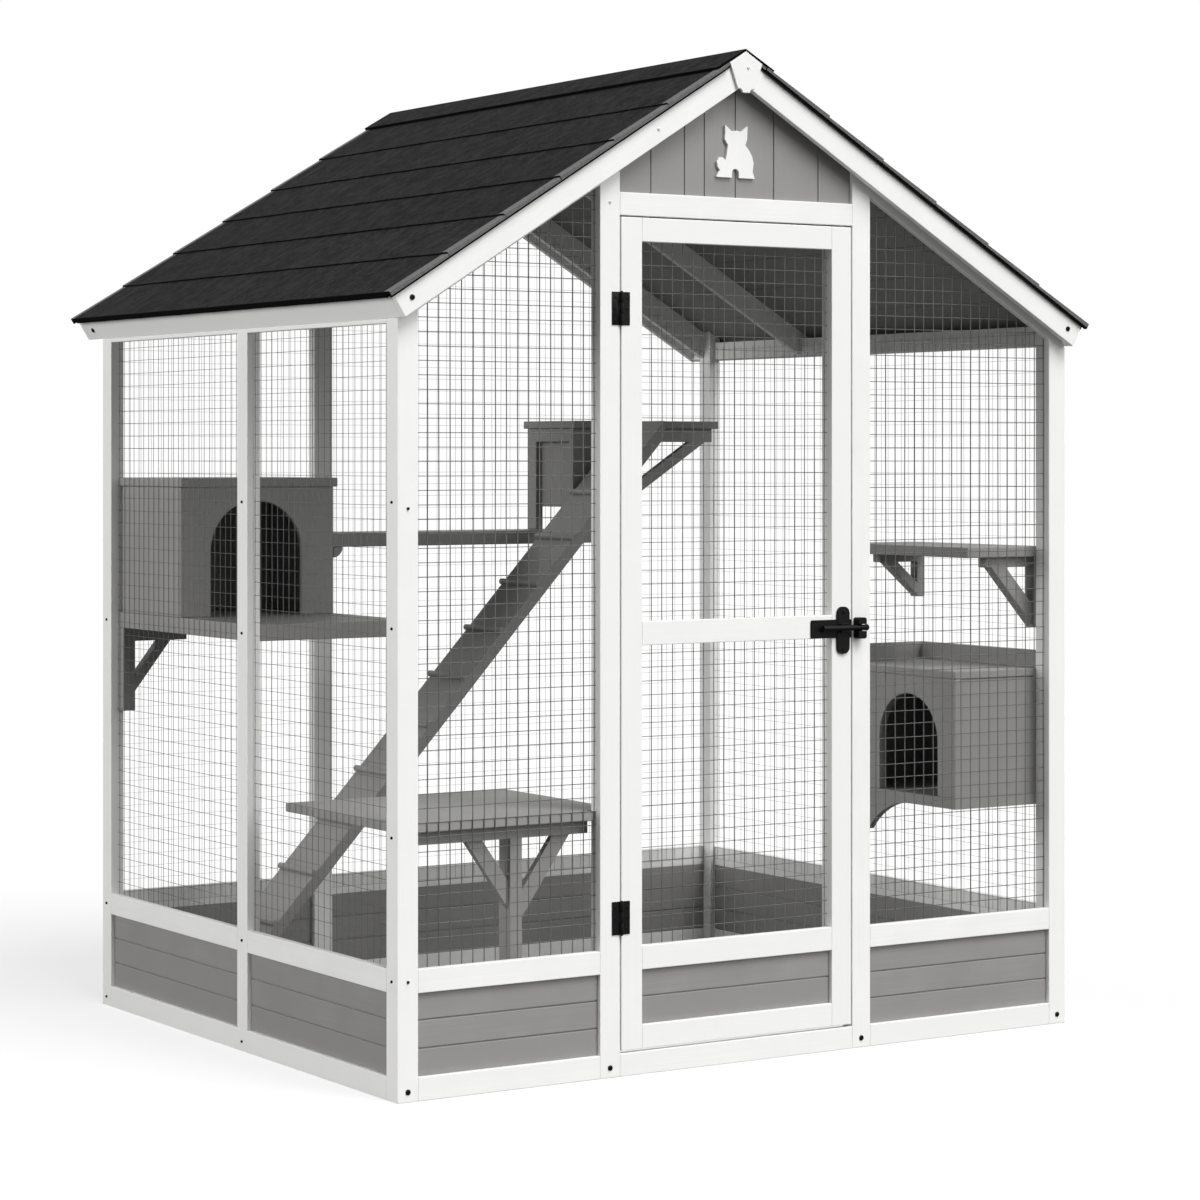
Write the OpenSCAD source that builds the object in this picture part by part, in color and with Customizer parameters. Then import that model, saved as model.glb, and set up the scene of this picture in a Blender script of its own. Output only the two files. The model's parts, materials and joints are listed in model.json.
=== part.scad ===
// Outdoor cat enclosure: a timber frame with wire panels, a gable roof, a hinged door with a
// sliding bolt, and shelves, a ramp, a table and two shelter boxes inside.
// All sizes are in millimetres. Sizes are worked out from the outer left corner of the frame at
// the front (x to the right, y to the back, z up), and framed() moves that to the part's origin,
// the middle of the whole object's outline on the ground.

/* [Frame] */
// Width over the corner posts
frame_w = 1664; // [1500:1:1800]
// Depth over the corner posts
frame_d = 1360; // [1250:1:1500]
// Thickness of rails
rail_t = 16; // [14:1:19]
// Side of the square front corner posts
front_post = 45; // [42:1:50]
// Width of the rear corner posts, seen from behind
rear_post_w = 31; // [28:1:45]
// Depth of the middle posts, inwards
mid_post_t = 30; // [26:1:45]
// Width of the middle and door posts
mid_post_w = 47; // [44:1:50]
// Depth of the door posts
door_post_t = 34; // [32:1:40]
// Height of the bottom rails
bottom_rail_h = 46; // [40:1:60]
// Height of the boarding above the bottom rails
board_zone_h = 161; // [120:1:220]
// Height of the kick rails above the boarding
kick_rail_h = 46; // [40:1:60]
// Thickness of the boarding
board_t = 7; // [5:1:7]
// Gap between two boards
board_gap = 2.5; // [1:0.5:4]
// Boards in one stack of boarding
board_count = 3; // [2:1:4]

/* [Post places] */
// Left face of the left door post
door_post_left_x = 459; // [430:1:480]
// Clear opening between the door posts
door_opening_w = 578; // [560:1:600]
// Front face of the left middle post
mid_post_left_y = 637; // [610:1:660]
// Front face of the right middle post
mid_post_right_y = 735; // [700:1:780]
// Left face of the rear middle post
mid_post_rear_x = 522; // [480:1:560]

/* [Roof] */
// Distance of the ridge from the left face
ridge_x = 790; // [760:1:820]
// Height of the underside of the roof deck at the ridge
ridge_z = 2045; // [2000:1:2100]
// Height of the underside of the roof deck over the left face
eave_left_z = 1554.7; // [1540:0.1:1570]
// Height of the underside of the roof deck over the right face
eave_right_z = 1528.8; // [1515:0.1:1545]
// Overhang past the left face
overhang_left = 24; // [23:0.5:30]
// Overhang past the right face
overhang_right = 23; // [22:0.5:30]
// Overhang of the roof in front
overhang_front = 28; // [28:1:40]
// Overhang of the roof behind
overhang_rear = 80; // [60:1:100]
// Height of rake boards and fascias, square to the roof
rake_h = 48; // [40:1:55]
// Thickness of the rake boards
rake_t = 15; // [12:1:15]
// Thickness of the fascias
fascia_t = 12; // [10:1:13]
// Height of the battens behind the front rake boards
batten_h = 30; // [20:1:38]
// Height of the sloping rails under the roof
slope_rail_h = 57; // [50:1:65]
// Thickness of the roof deck
deck_t = 7; // [5:1:12]
// Thickness of one shingle
shingle_t = 3; // [2:0.5:4]
// Courses of shingles on each side
course_count = 6; // [4:1:8]
// Overhang of the shingles past the fascias
shingle_drip = 10; // [5:1:15]
// Overhang of the shingles past the rake boards
shingle_verge = 9; // [8.5:0.5:15]
// Length of the ridge cap down each side
cap_leg = 73; // [60:1:90]
// Width of the ridge beam
beam_w = 18; // [15:1:22]
// Height of the ridge beam
beam_h = 60; // [50:1:80]
// Front face of the rafters
rafter_y = 955; // [900:1:1000]
// Thickness of the rafters
rafter_t = 15; // [12:1:20]
// Depth of the rafters, square to the roof
rafter_h = 50; // [40:1:54]
// Height of the side wall plates
plate_h = 42; // [36:1:46]
// Drop of the left wall plate below the roof line
plate_left_drop = 22.7; // [21:0.1:30]
// Drop of the right wall plate below the roof line
plate_right_drop = 8.8; // [6:0.1:16]
// Thickness of the block at the ridge
ridge_block_t = 6; // [4:1:6]
// Height of the block at the ridge
ridge_block_h = 73; // [60:1:85]

/* [Wire] */
// Wire thickness of the panels
wire_t = 1.6; // [1.2:0.1:2]
// Spacing of the wires drawn in this model
wire_pitch = 152.4; // [127:0.1:203]
// How far a panel laps behind its rails
wire_lap = 30; // [20:1:40]

/* [Door] */
// Gap round the door
door_gap = 3; // [2.5:0.5:4]
// Gap under the door
door_sill_gap = 5; // [3:1:8]
// Drop of the door header's underside below the ridge
header_drop = 330; // [310:1:350]
// Height of the door header
header_h = 46; // [40:1:50]
// Width of the door stiles
stile_w = 50; // [45:1:55]
// Depth of the door stiles
stile_t = 35; // [30:1:38]
// Height of the door's rails
door_rail_h = 48; // [44:1:52]
// Height of the boarding in the door
door_board_h = 110; // [90:1:130]
// Underside of the door's middle rail
lock_rail_z = 857; // [820:1:900]
// Boards in the door
door_board_count = 2; // [1:1:3]

/* [Hinges] */
// Height of one hinge
hinge_h = 66; // [60:1:75]
// Width of one hinge, opened flat
hinge_w = 42; // [36:1:48]
// Thickness of a hinge leaf
leaf_t = 2; // [1.5:0.1:2.5]
// Radius of the hinge knuckles
knuckle_r = 4; // [3.6:0.1:4.1]
// Radius of the hinge pins
pin_r = 2; // [1.6:0.1:2.4]
// Running clearance round a hinge pin
pin_play = 0.05; // [0.02:0.01:0.09]
// Gap between two knuckles
knuckle_gap = 0.4; // [0.3:0.1:1]
// Underside of the lower hinge
hinge_low_z = 283; // [262:1:320]
// Drop of the upper hinge's underside below the top of the door
hinge_high_drop = 216; // [160:1:260]

/* [Bolt] */
// Height of the bolt's centre line
bolt_z = 878; // [872:1:884]
// Radius of the sliding bolt
bolt_r = 6; // [5:0.5:6.5]
// Distance of the bolt's centre line from the door face
bolt_stand = 12; // [11:0.5:14]
// Radius of the bolt's round tip
bolt_tip_r = 7; // [6.5:0.5:7.5]
// Sliding clearance round the bolt
bolt_play = 0.05; // [0.03:0.01:0.09]
// Length of the bolt without its tip
bolt_len = 111; // [100:1:120]
// Length of the bolt's back plate
latch_plate_w = 105; // [90:1:110]
// Height of the bolt's back plate
latch_plate_h = 38; // [30:1:42]
// Thickness of the bolt's back plate and the keeper's plate
latch_plate_t = 3; // [2:0.5:4]
// Width of the upright strap
strap_w = 32; // [26:1:36]
// Height of the upright strap
strap_h = 98; // [80:1:110]
// Width of the keeper on the post
keeper_w = 21; // [16:1:26]
// Height of the keeper
keeper_h = 44; // [40:1:50]

/* [Table] */
// Height of the table top
table_z = 529; // [480:1:560]
// Thickness of the table top
table_t = 18; // [14:1:26]
// Rear edge of the table top
table_y1 = 500; // [450:1:620]
// Right edge of the table top, behind the door post
table_x1 = 537; // [510:1:560]
// Height of the rail under the table top
apron_h = 27; // [22:1:40]
// Width of the table leg
leg_w = 27; // [22:1:34]
// Depth of the table leg
leg_d = 43; // [34:1:50]
// Middle of the table leg, from the left face
leg_x = 291.5; // [275:0.5:305]
// How far the left strut spreads from the leg
strut_left_run = 97; // [80:1:110]
// How far the right strut spreads from the leg
strut_right_run = 115; // [90:1:130]
// Width of the struts along the apron
strut_w = 38; // [30:1:44]
// Slope of the struts in degrees
strut_slope = 55; // [48:1:60]

/* [Ramp] */
// Front edge of the ramp
ramp_y0 = 950; // [930:1:960]
// Rear edge of the ramp
ramp_y1 = 1110; // [1090:1:1125]
// Foot of the ramp, from the left face
ramp_x0 = 68; // [60:1:80]
// Slope of the ramp in degrees
ramp_slope = 47.2; // [46:0.1:48.5]
// Thickness of the ramp board
ramp_t = 27; // [20:1:32]
// Spacing of the cleats along the ramp
cleat_pitch = 142; // [120:1:160]
// Radius of the round cleats
cleat_r = 7; // [6:0.5:9]
// Height of the cleats above the board
cleat_h = 10; // [8:1:13]
// How far the cleats stand out past the board's sides
cleat_over = 2; // [0:1:5]

/* [Shelves] */
// Top of the left shelf
shelf_left_z = 885; // [860:1:910]
// Thickness of the left shelf
shelf_left_t = 35; // [25:1:40]
// Right edge of the left shelf
shelf_left_x1 = 400; // [380:1:420]
// Front edge of the left shelf
shelf_left_y0 = 650; // [640:1:680]
// Top of the right shelf
shelf_right_z = 1038; // [1010:1:1070]
// Thickness of the right shelf
shelf_right_t = 23; // [18:1:30]
// Left edge of the right shelf
shelf_right_x0 = 1429; // [1400:1:1450]
// Rear edge of the right shelf
shelf_right_y1 = 500; // [480:1:520]
// Top of the rear shelf
shelf_rear_z = 1058; // [1040:1:1080]
// Thickness of the rear shelf
shelf_rear_t = 31; // [25:1:40]
// Front edge of the rear shelf
shelf_rear_y0 = 1163; // [1155:1:1180]
// Right edge of the rear shelf
shelf_rear_x1 = 1290; // [1200:1:1320]
// Thickness of the brackets
bracket_t = 26; // [18:1:30]
// Width of the timber in the left bracket
bracket_left_bar = 30; // [24:1:34]
// Reach of the bracket under the left shelf
bracket_left_reach = 157; // [140:1:170]
// Drop of the bracket under the left shelf
bracket_left_drop = 186; // [160:1:200]
// Width of the timber in the right brackets
bracket_right_bar = 22; // [18:1:28]
// Reach of the front bracket under the right shelf
bracket_front_reach = 154; // [140:1:170]
// Drop of the front bracket under the right shelf
bracket_front_drop = 155; // [140:1:170]
// Reach of the rear bracket under the right shelf
bracket_rear_reach = 130; // [115:1:145]
// Drop of the rear bracket under the right shelf
bracket_rear_drop = 102; // [90:1:120]
// Radius of the corbel under the rear shelf
corbel_r = 24; // [18:1:30]

/* [Perch] */
// Top of the perch board
perch_z = 1319; // [1300:1:1340]
// Thickness of the perch board
perch_t = 18; // [15:1:24]
// Left edge of the perch board
perch_x0 = 1100; // [1080:1:1120]
// Right edge of the perch board
perch_x1 = 1517; // [1490:1:1550]
// Right face of the box under the perch
perch_box_x1 = 1290; // [1280:1:1330]
// Underside of the box under the perch
perch_box_z0 = 1113; // [1090:1:1140]
// Width of the leg under the perch
perch_leg_w = 20; // [16:1:24]
// Depth of the leg under the perch
perch_leg_d = 40; // [32:1:46]
// Height of the apron under the perch
perch_apron_h = 32; // [26:1:38]
// Reach of the strut along the apron
perch_strut_reach = 201; // [180:1:210]
// Width of the strut along the apron
perch_strut_w = 50; // [40:1:60]
// Slope of the strut in degrees
perch_strut_slope = 32.5; // [28:0.5:35]

/* [Shelter boxes] */
// Thickness of the walls
wall_t = 12; // [9:1:15]
// Thickness of the right box's arched panel
arch_panel_t = 20; // [16:1:24]
// Thickness of the left box's roof
lid_t = 20; // [16:1:24]
// Thickness of the right box's roof
lid_right_t = 17; // [14:1:20]
// Right face of the left box
house_left_x1 = 392; // [370:1:395]
// Front face of the left box
house_left_y0 = 993; // [980:1:1010]
// Height of the left box's walls
house_left_h = 282; // [260:1:300]
// Width of the arch in the left box
arch_left_w = 221; // [200:1:240]
// Middle of the arch, from the left face
arch_left_x = 201.5; // [190:0.5:215]
// Height of the arch in the left box
arch_left_h = 252; // [230:1:262]
// Left face of the right box
house_right_x0 = 1395; // [1380:1:1410]
// Rear face of the right box
house_right_y1 = 475; // [450:1:490]
// Top of the right box's floor board
house_right_z = 498; // [480:1:520]
// Thickness of the right box's floor board
house_floor_t = 23; // [18:1:28]
// Height of the right box's walls
house_right_h = 257; // [240:1:270]
// Width of the arch in the right box
arch_right_w = 205; // [180:1:215]
// Middle of the arch in the right box, from the front
arch_right_y = 209.5; // [200:0.5:215]
// Height of the arch in the right box
arch_right_h = 217; // [200:1:226]
// Height of the raised rim on the right box
rim_h = 38; // [30:1:45]
// Thickness of the raised rim
rim_t = 15; // [12:1:18]
// Height of the curved panel below the right box
curve_panel_h = 69; // [55:1:80]
// Radius of its curve
curve_r = 185; // [160:1:200]

/* [Cut-out figure] */
// Height of the cat cut-out
figure_h = 107; // [95:1:115]
// Thickness of the cat cut-out
figure_t = 6; // [4:0.5:8]
// Height of the cat cut-out above the door header
figure_rise = 41; // [25:1:45]
// Distance of the cut-out's middle from the ridge, to the left
figure_offset = 2; // [-20:1:20]

/* [Hidden] */
$fn = 48;

paint_white = "#ececea";
paint_grey = "#8f8f8c";
asphalt = "#353535";
black_metal = "#1c1c1c";
wire_grey = "#77797a";

// Roof geometry: each side falls from the ridge to its eave.
left_pitch = atan2(ridge_z - eave_left_z, ridge_x);
right_pitch = atan2(ridge_z - eave_right_z, frame_w - ridge_x);
left_len = (ridge_x + overhang_left) / cos(left_pitch);
right_len = (frame_w - ridge_x + overhang_right) / cos(right_pitch);
roof_y0 = -overhang_front;
roof_y1 = frame_d + overhang_rear;
shingle_y0 = roof_y0 - shingle_verge;
shingle_y1 = roof_y1 + shingle_verge;
left_tip_x = ridge_x - (left_len + shingle_drip) * cos(left_pitch) - deck_t * sin(left_pitch);
right_tip_x = ridge_x + (right_len + shingle_drip) * cos(right_pitch) + deck_t * sin(right_pitch);
function pitch(side) = side < 0 ? left_pitch : right_pitch;
function slope_len(side) = side < 0 ? left_len : right_len;
// Height of the underside of the deck at a distance x from the left face.
function roof_z(x) = x < ridge_x
    ? ridge_z - (ridge_x - x) * tan(left_pitch)
    : ridge_z - (x - ridge_x) * tan(right_pitch);

// Room that cuts need past the piece they cut
cut_room = frame_w / 16;
// How far the layers of the roof run on past the ridge before they are cut there
ridge_lap = 30;
saw_cut = 0.4;

// The middle of the whole outline on the ground is the part's origin.
mid_x = (left_tip_x + right_tip_x) / 2
    + (2 * shingle_t) * (sin(right_pitch) - sin(left_pitch)) / 2;
mid_y = (shingle_y0 + shingle_y1) / 2;

// Walls
rear_post_d = front_post;
rear_y0 = frame_d - rail_t;
wire_y = rail_t + wire_t;
post_rear_y0 = frame_d - rear_post_d;
door_x0 = door_post_left_x + mid_post_w;
door_x1 = door_x0 + door_opening_w;
kick_z = bottom_rail_h + board_zone_h;
kick_top = kick_z + kick_rail_h;
panel_z = kick_top - wire_lap;
board_inset = rail_t - board_t;
plate_left_top = eave_left_z - plate_left_drop;
plate_right_top = eave_right_z - plate_right_drop;
header_z = ridge_z - header_drop;
header_top = header_z + header_h;
inner_x0 = wire_y + 0.4;
inner_x1 = frame_w - inner_x0;
inner_y0 = wire_y + 0.4;
inner_y1 = frame_d - inner_y0;

// Door
leaf_x0 = door_x0 + door_gap;
leaf_x1 = door_x1 - door_gap;
leaf_z0 = bottom_rail_h + door_sill_gap;
leaf_z1 = header_z - door_gap;
door_board_z = leaf_z0 + door_rail_h;
door_kick_z = door_board_z + door_board_h;
pin_x = (door_x0 + leaf_x0) / 2;
pin_y = -knuckle_r;
hinge_levels = [hinge_low_z, leaf_z1 - hinge_high_drop];

// Bolt and keeper
latch_x1 = leaf_x1 - 0.5;
strap_x = leaf_x1 - 23;
keeper_x = door_x1 + 3;
bolt_x0 = latch_x1 - latch_plate_w + 24.5;
bolt_x1 = bolt_x0 + bolt_len;

// Ramp
ramp_top_z = perch_z;
ramp_len = (ramp_top_z - ramp_t * cos(ramp_slope)) / sin(ramp_slope);
ramp_x1 = ramp_x0 + (ramp_top_z - ramp_t / cos(ramp_slope)) / tan(ramp_slope);
cleat_start = 120;
cleat_end = 150;
cleat_count = floor((ramp_len - cleat_start - cleat_end) / cleat_pitch) + 1;

// Left box and right box
box_left_z0 = shelf_left_z;
house_left_y1 = post_rear_y0 - 21;
house_right_y0 = front_post;
house_right_x1 = inner_x1 - 15;
house_right_set = 3;

// Moves a piece from the frame's corner to the part's origin.
module framed() translate([-mid_x, -mid_y, 0]) children();

// A block between two corners.
module block(a, b) translate(a) cube(b - a);

// Coordinates on one side of the roof: x down the slope from the ridge, z square to the deck.
module on_slope(side)
    translate([ridge_x, 0, ridge_z])
    mirror([side < 0 ? 1 : 0, 0, 0])
    rotate([0, pitch(side), 0])
    children();

// A board on the roof slope, cut upright at the ridge.
module slope_board(side, x0, x1, y0, y1, z0, z1)
    intersection() {
        on_slope(side) block([x0, y0, z0], [x1, y1, z1]);
        one_side(side, y0 - 1, y1 + 1);
    }

// Everything on one side of the ridge between two depths
module one_side(side, y0, y1)
    translate([side < 0 ? ridge_x - frame_w : ridge_x, y0, 0])
    cube([frame_w, y1 - y0, ridge_z + cut_room]);

// The saw cut that parts the two sides at the ridge
module ridge_cut(y0, y1)
    block([ridge_x - saw_cut / 2, y0 - 1, 0], [ridge_x + saw_cut / 2, y1 + 1, ridge_z + cut_room]);

// The region under the roof deck, as an upright slab between two depths.
module under_roof(y0, y1)
    translate([0, y1, 0])
    rotate([90, 0, 0])
    linear_extrude(y1 - y0)
    polygon([
        [-cut_room, 0], [-cut_room, roof_z(-cut_room)], [ridge_x, ridge_z],
        [frame_w + cut_room, roof_z(frame_w + cut_room)], [frame_w + cut_room, 0]
    ]);

// The room that the fascia takes on one side, and all that lies outside it.
module fascia_room(side)
    on_slope(side)
    block(
        [slope_len(side) - fascia_t, roof_y0 - 1, -rake_h],
        [slope_len(side) + cut_room, roof_y1 + 1, cut_room]
    );

// Cuts what is drawn to the roof, and houses the fascias in it.
module to_roof(y0, y1)
    difference() {
        intersection() {
            children();
            under_roof(y0, y1);
        }
        fascia_room(-1);
        fascia_room(1);
    }

// A bracket of a level bar, an upright bar and a strut, flat in the x-z plane, growing from the
// wall at x = 0 towards positive x, with its top at z = 0. The strut takes the given share of the
// level bar's underside, and its lower edge ends at the given share of the drop.
module bracket(reach, drop, strut, foot, bar, t) {
    x0 = strut[0] * reach;
    x1 = strut[1] * reach;
    fall = (foot * drop - bar) / (x1 - bar);
    rotate([90, 0, 0])
    linear_extrude(t)
    union() {
        translate([0, -bar]) square([reach, bar]);
        translate([0, -drop]) square([bar, drop]);
        polygon([
            [bar - 1, -bar - (x0 - bar) * fall], [bar - 1, -bar - (x1 - bar) * fall],
            [x1, 1 - bar], [x0, 1 - bar]
        ]);
    }
}

// A stack of boards between two ends, with gaps between the boards.
module board_stack(a, b, count)
    for (i = [0 : count - 1]) {
        pitch_z = (b[2] - a[2] + board_gap) / count;
        block(
            [a[0], a[1], a[2] + i * pitch_z],
            [b[0], b[1], a[2] + (i + 1) * pitch_z - board_gap]
        );
    }

// A flat grid of wires filling an outline of the given width and height.
module wire_grid(w, h) {
    columns = ceil(w / wire_pitch);
    rows = ceil(h / wire_pitch);
    for (i = [0 : columns - 1]) translate([i * wire_pitch, 0]) square([wire_t, h]);
    translate([w - wire_t, 0]) square([wire_t, h]);
    for (i = [0 : rows - 1]) translate([0, i * wire_pitch]) square([w, wire_t]);
    translate([0, h - wire_t]) square([w, wire_t]);
}

// The outline of a wire panel under the roof, dropped by some height.
module roof_outline(x0, x1, drop)
    polygon(concat(
        [[x0, panel_z], [x0, roof_z(x0) - drop]],
        x0 < ridge_x && x1 > ridge_x ? [[ridge_x, ridge_z - drop]] : [],
        [[x1, roof_z(x1) - drop], [x1, panel_z]]
    ));

// A wire panel whose top follows the roof.
module panel_roof(x0, x1, y, drop)
    translate([0, y + wire_t, 0])
    rotate([90, 0, 0])
    linear_extrude(wire_t) {
        intersection() {
            translate([x0, panel_z]) wire_grid(x1 - x0, ridge_z - panel_z);
            roof_outline(x0, x1, drop);
        }
        difference() {
            roof_outline(x0, x1, drop);
            roof_outline(x0, x1, drop + 2 * wire_t);
        }
    }

// A wire panel in a side wall.
module panel_y(y0, y1, x, z1)
    translate([x, 0, 0])
    rotate([90, 0, 90])
    linear_extrude(wire_t)
    translate([y0, panel_z])
    wire_grid(y1 - y0, z1 - panel_z);

// The outline of an arched doorway, its sill at the origin.
module arch(w, h) {
    translate([-w / 2, -1]) square([w, h - w / 2 + 1]);
    translate([0, h - w / 2]) circle(w / 2);
}

// Front corner posts
module post_front_left() color(paint_white) framed()
    to_roof(-1, front_post + 1)
    block([0, 0, 0], [front_post, front_post, ridge_z]);

module post_front_right() color(paint_white) framed()
    to_roof(-1, front_post + 1)
    block([frame_w - front_post, 0, 0], [frame_w, front_post, ridge_z]);

// Rear corner posts
module posts_rear() color(paint_white) framed()
    to_roof(post_rear_y0 - 1, frame_d + 1) {
        block([0, post_rear_y0, 0], [rear_post_w, frame_d, ridge_z]);
        block([frame_w - rear_post_w, post_rear_y0, 0], [frame_w, frame_d, ridge_z]);
    }

// Posts on both sides of the door
module posts_door() color(paint_white) framed()
    to_roof(-1, door_post_t + 1) {
        block([door_post_left_x, 0, 0], [door_x0, door_post_t, ridge_z]);
        block([door_x1, 0, 0], [door_x1 + mid_post_w, door_post_t, ridge_z]);
    }

// Middle posts of the side walls and the rear wall, standing on the bottom rails
module posts_mid() color(paint_white) framed()
    to_roof(0, frame_d + 1) {
        block(
            [0, mid_post_left_y, bottom_rail_h],
            [mid_post_t, mid_post_left_y + mid_post_w, ridge_z]
        );
        block(
            [frame_w - mid_post_t, mid_post_right_y, bottom_rail_h],
            [frame_w, mid_post_right_y + mid_post_w, ridge_z]
        );
        block(
            [mid_post_rear_x, frame_d - mid_post_t, bottom_rail_h],
            [mid_post_rear_x + mid_post_w, frame_d, ridge_z]
        );
    }

// Rails of one side wall: the bottom rail runs through, the others stop at the middle post.
module side_rails(x, mid_y0, plate_top)
    to_roof(0, frame_d) {
        block([x, front_post, 0], [x + rail_t, post_rear_y0, bottom_rail_h]);
        for (bay = [[front_post, mid_y0], [mid_y0 + mid_post_w, post_rear_y0]]) {
            block([x, bay[0], kick_z], [x + rail_t, bay[1], kick_top]);
            block([x, bay[0], plate_top - plate_h], [x + rail_t, bay[1], plate_top]);
        }
    }

module rails_left() color(paint_white) framed()
    side_rails(0, mid_post_left_y, plate_left_top);

module rails_right() color(paint_white) framed()
    side_rails(frame_w - rail_t, mid_post_right_y, plate_right_top);

// A sloping rail under the deck, kept between two upright cuts
module gable_rail(side, x0, x1, y0)
    intersection() {
        slope_board(side, 0, slope_len(side), y0, y0 + rail_t, -slope_rail_h, 0);
        block([x0, y0 - 1, 0], [x1, y0 + rail_t + 1, ridge_z]);
    }

module rails_rear() color(paint_white) framed() {
    mid_x1 = mid_post_rear_x + mid_post_w;
    bays = [[rear_post_w, mid_post_rear_x], [mid_x1, frame_w - rear_post_w]];
    block([rear_post_w, rear_y0, 0], [frame_w - rear_post_w, frame_d, bottom_rail_h]);
    for (bay = bays) block([bay[0], rear_y0, kick_z], [bay[1], frame_d, kick_top]);
    gable_rail(-1, rear_post_w, mid_post_rear_x, rear_y0);
    gable_rail(-1, mid_x1, ridge_x - beam_w / 2, rear_y0);
    gable_rail(1, ridge_x + beam_w / 2, frame_w - rear_post_w, rear_y0);
}

// Rails of one bay beside the door
module bay_rails(side, x0, x1) {
    block([x0, 0, 0], [x1, rail_t, bottom_rail_h]);
    block([x0, 0, kick_z], [x1, rail_t, kick_top]);
    gable_rail(side, x0, x1, 0);
}

module rails_front_left() color(paint_white) framed()
    bay_rails(-1, front_post, door_post_left_x);

module rails_front_right() color(paint_white) framed()
    bay_rails(1, door_x1 + mid_post_w, frame_w - front_post);

module door_sill() color(paint_white) framed()
    block([door_x0, 0, 0], [door_x1, rail_t, bottom_rail_h]);

module door_header() color(paint_white) framed()
    block([door_x0, 0, header_z], [door_x1, rail_t, header_top]);

// Boarding of one side wall
module side_boards(x, mid_y0)
    for (bay = [[front_post, mid_y0], [mid_y0 + mid_post_w, post_rear_y0]])
        board_stack([x, bay[0], bottom_rail_h], [x + board_t, bay[1], kick_z], board_count);

module cladding_left() color(paint_grey) framed()
    side_boards(board_inset, mid_post_left_y);

module cladding_right() color(paint_grey) framed()
    side_boards(frame_w - rail_t, mid_post_right_y);

module cladding_rear() color(paint_grey) framed() {
    mid_x1 = mid_post_rear_x + mid_post_w;
    for (bay = [[rear_post_w, mid_post_rear_x], [mid_x1, frame_w - rear_post_w]])
        board_stack([bay[0], rear_y0, bottom_rail_h], [bay[1], rear_y0 + board_t, kick_z], board_count);
}

module cladding_front() color(paint_grey) framed()
    for (bay = [[front_post, door_post_left_x], [door_x1 + mid_post_w, frame_w - front_post]])
        board_stack([bay[0], board_inset, bottom_rail_h], [bay[1], rail_t, kick_z], board_count);

// Wire panels
module mesh_left() color(wire_grey) framed()
    for (bay = [[front_post, mid_post_left_y], [mid_post_left_y + mid_post_w, post_rear_y0]])
        panel_y(bay[0], bay[1], rail_t, plate_left_top - plate_h + wire_lap);

module mesh_right() color(wire_grey) framed()
    for (bay = [[front_post, mid_post_right_y], [mid_post_right_y + mid_post_w, post_rear_y0]])
        panel_y(bay[0], bay[1], frame_w - rail_t - wire_t, plate_right_top - plate_h + wire_lap);

module mesh_rear() color(wire_grey) framed() {
    mid_x1 = mid_post_rear_x + mid_post_w;
    beam_room = beam_h + 2;
    panel_roof(rear_post_w, mid_post_rear_x, rear_y0 - wire_t, slope_rail_h - wire_lap / 2);
    panel_roof(mid_x1, frame_w - rear_post_w, rear_y0 - wire_t, beam_room);
}

module mesh_front() color(wire_grey) framed() {
    panel_roof(front_post, door_post_left_x, rail_t, slope_rail_h - wire_lap / 2);
    panel_roof(
        door_x1 + mid_post_w, frame_w - front_post, rail_t, slope_rail_h - wire_lap / 2
    );
}

// Upright boards of uneven widths that close the gable above the door
module gable_boards() color(paint_grey) framed() {
    seams = [0, 0.138, 0.278, 0.362, 0.494, 0.66, 0.855, 1];
    widths = door_opening_w + board_gap;
    intersection() {
        for (i = [0 : len(seams) - 2])
            block(
                [door_x0 + seams[i] * widths, rail_t / 2, header_top],
                [door_x0 + seams[i + 1] * widths - board_gap, rail_t, ridge_z]
            );
        under_roof(0, rail_t + 1);
    }
}

// Outline of a seated cat seen from behind, in parts of its height, from its right foot upwards
CAT = [
    [0.45, 0], [0.4, 0.13], [0.42, 0.3], [0.39, 0.42], [0.32, 0.53], [0.23, 0.63], [0.27, 0.74],
    [0.285, 1], [0.13, 0.885], [0.02, 0.9], [-0.09, 0.885], [-0.24, 1], [-0.235, 0.84],
    [-0.25, 0.73], [-0.17, 0.62], [-0.2, 0.46], [-0.22, 0.32], [-0.3, 0.38], [-0.38, 0.37],
    [-0.43, 0.29], [-0.41, 0.2], [-0.36, 0.13], [-0.4, 0.09], [-0.44, 0]
];

module cat_outline(h)
    difference() {
        offset(r = 1) offset(delta = -1) polygon([for (p = CAT) p * h]);
        arch(0.16 * h, 0.17 * h);
    }

module gable_figure() color(paint_white) framed()
    translate([ridge_x - figure_offset, rail_t / 2, header_top + figure_rise])
    rotate([90, 0, 0])
    linear_extrude(figure_t)
    cat_outline(figure_h);

// Roof edge boards
module rake_boards_front() color(paint_white) framed()
    difference() {
        for (side = [-1, 1])
            slope_board(side, 0, slope_len(side), roof_y0, roof_y0 + rake_t, -rake_h, 0);
        ridge_cut(roof_y0, roof_y0 + rake_t);
    }

module rake_boards_rear() color(paint_white) framed()
    difference() {
        for (side = [-1, 1])
            slope_board(side, 0, slope_len(side), roof_y1 - rake_t, roof_y1, -rake_h, 0);
        ridge_cut(roof_y1 - rake_t, roof_y1);
    }

module verge_battens() color(paint_white) framed()
    difference() {
        for (side = [-1, 1])
            slope_board(
                side, 0, slope_len(side) - fascia_t, roof_y0 + rake_t, 0, -batten_h, 0
            );
        ridge_cut(roof_y0, 0);
    }

module fascias() color(paint_white) framed()
    for (side = [-1, 1])
        on_slope(side)
        block(
            [slope_len(side) - fascia_t, roof_y0 + rake_t, -rake_h],
            [slope_len(side), roof_y1 - rake_t, 0]
        );

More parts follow.
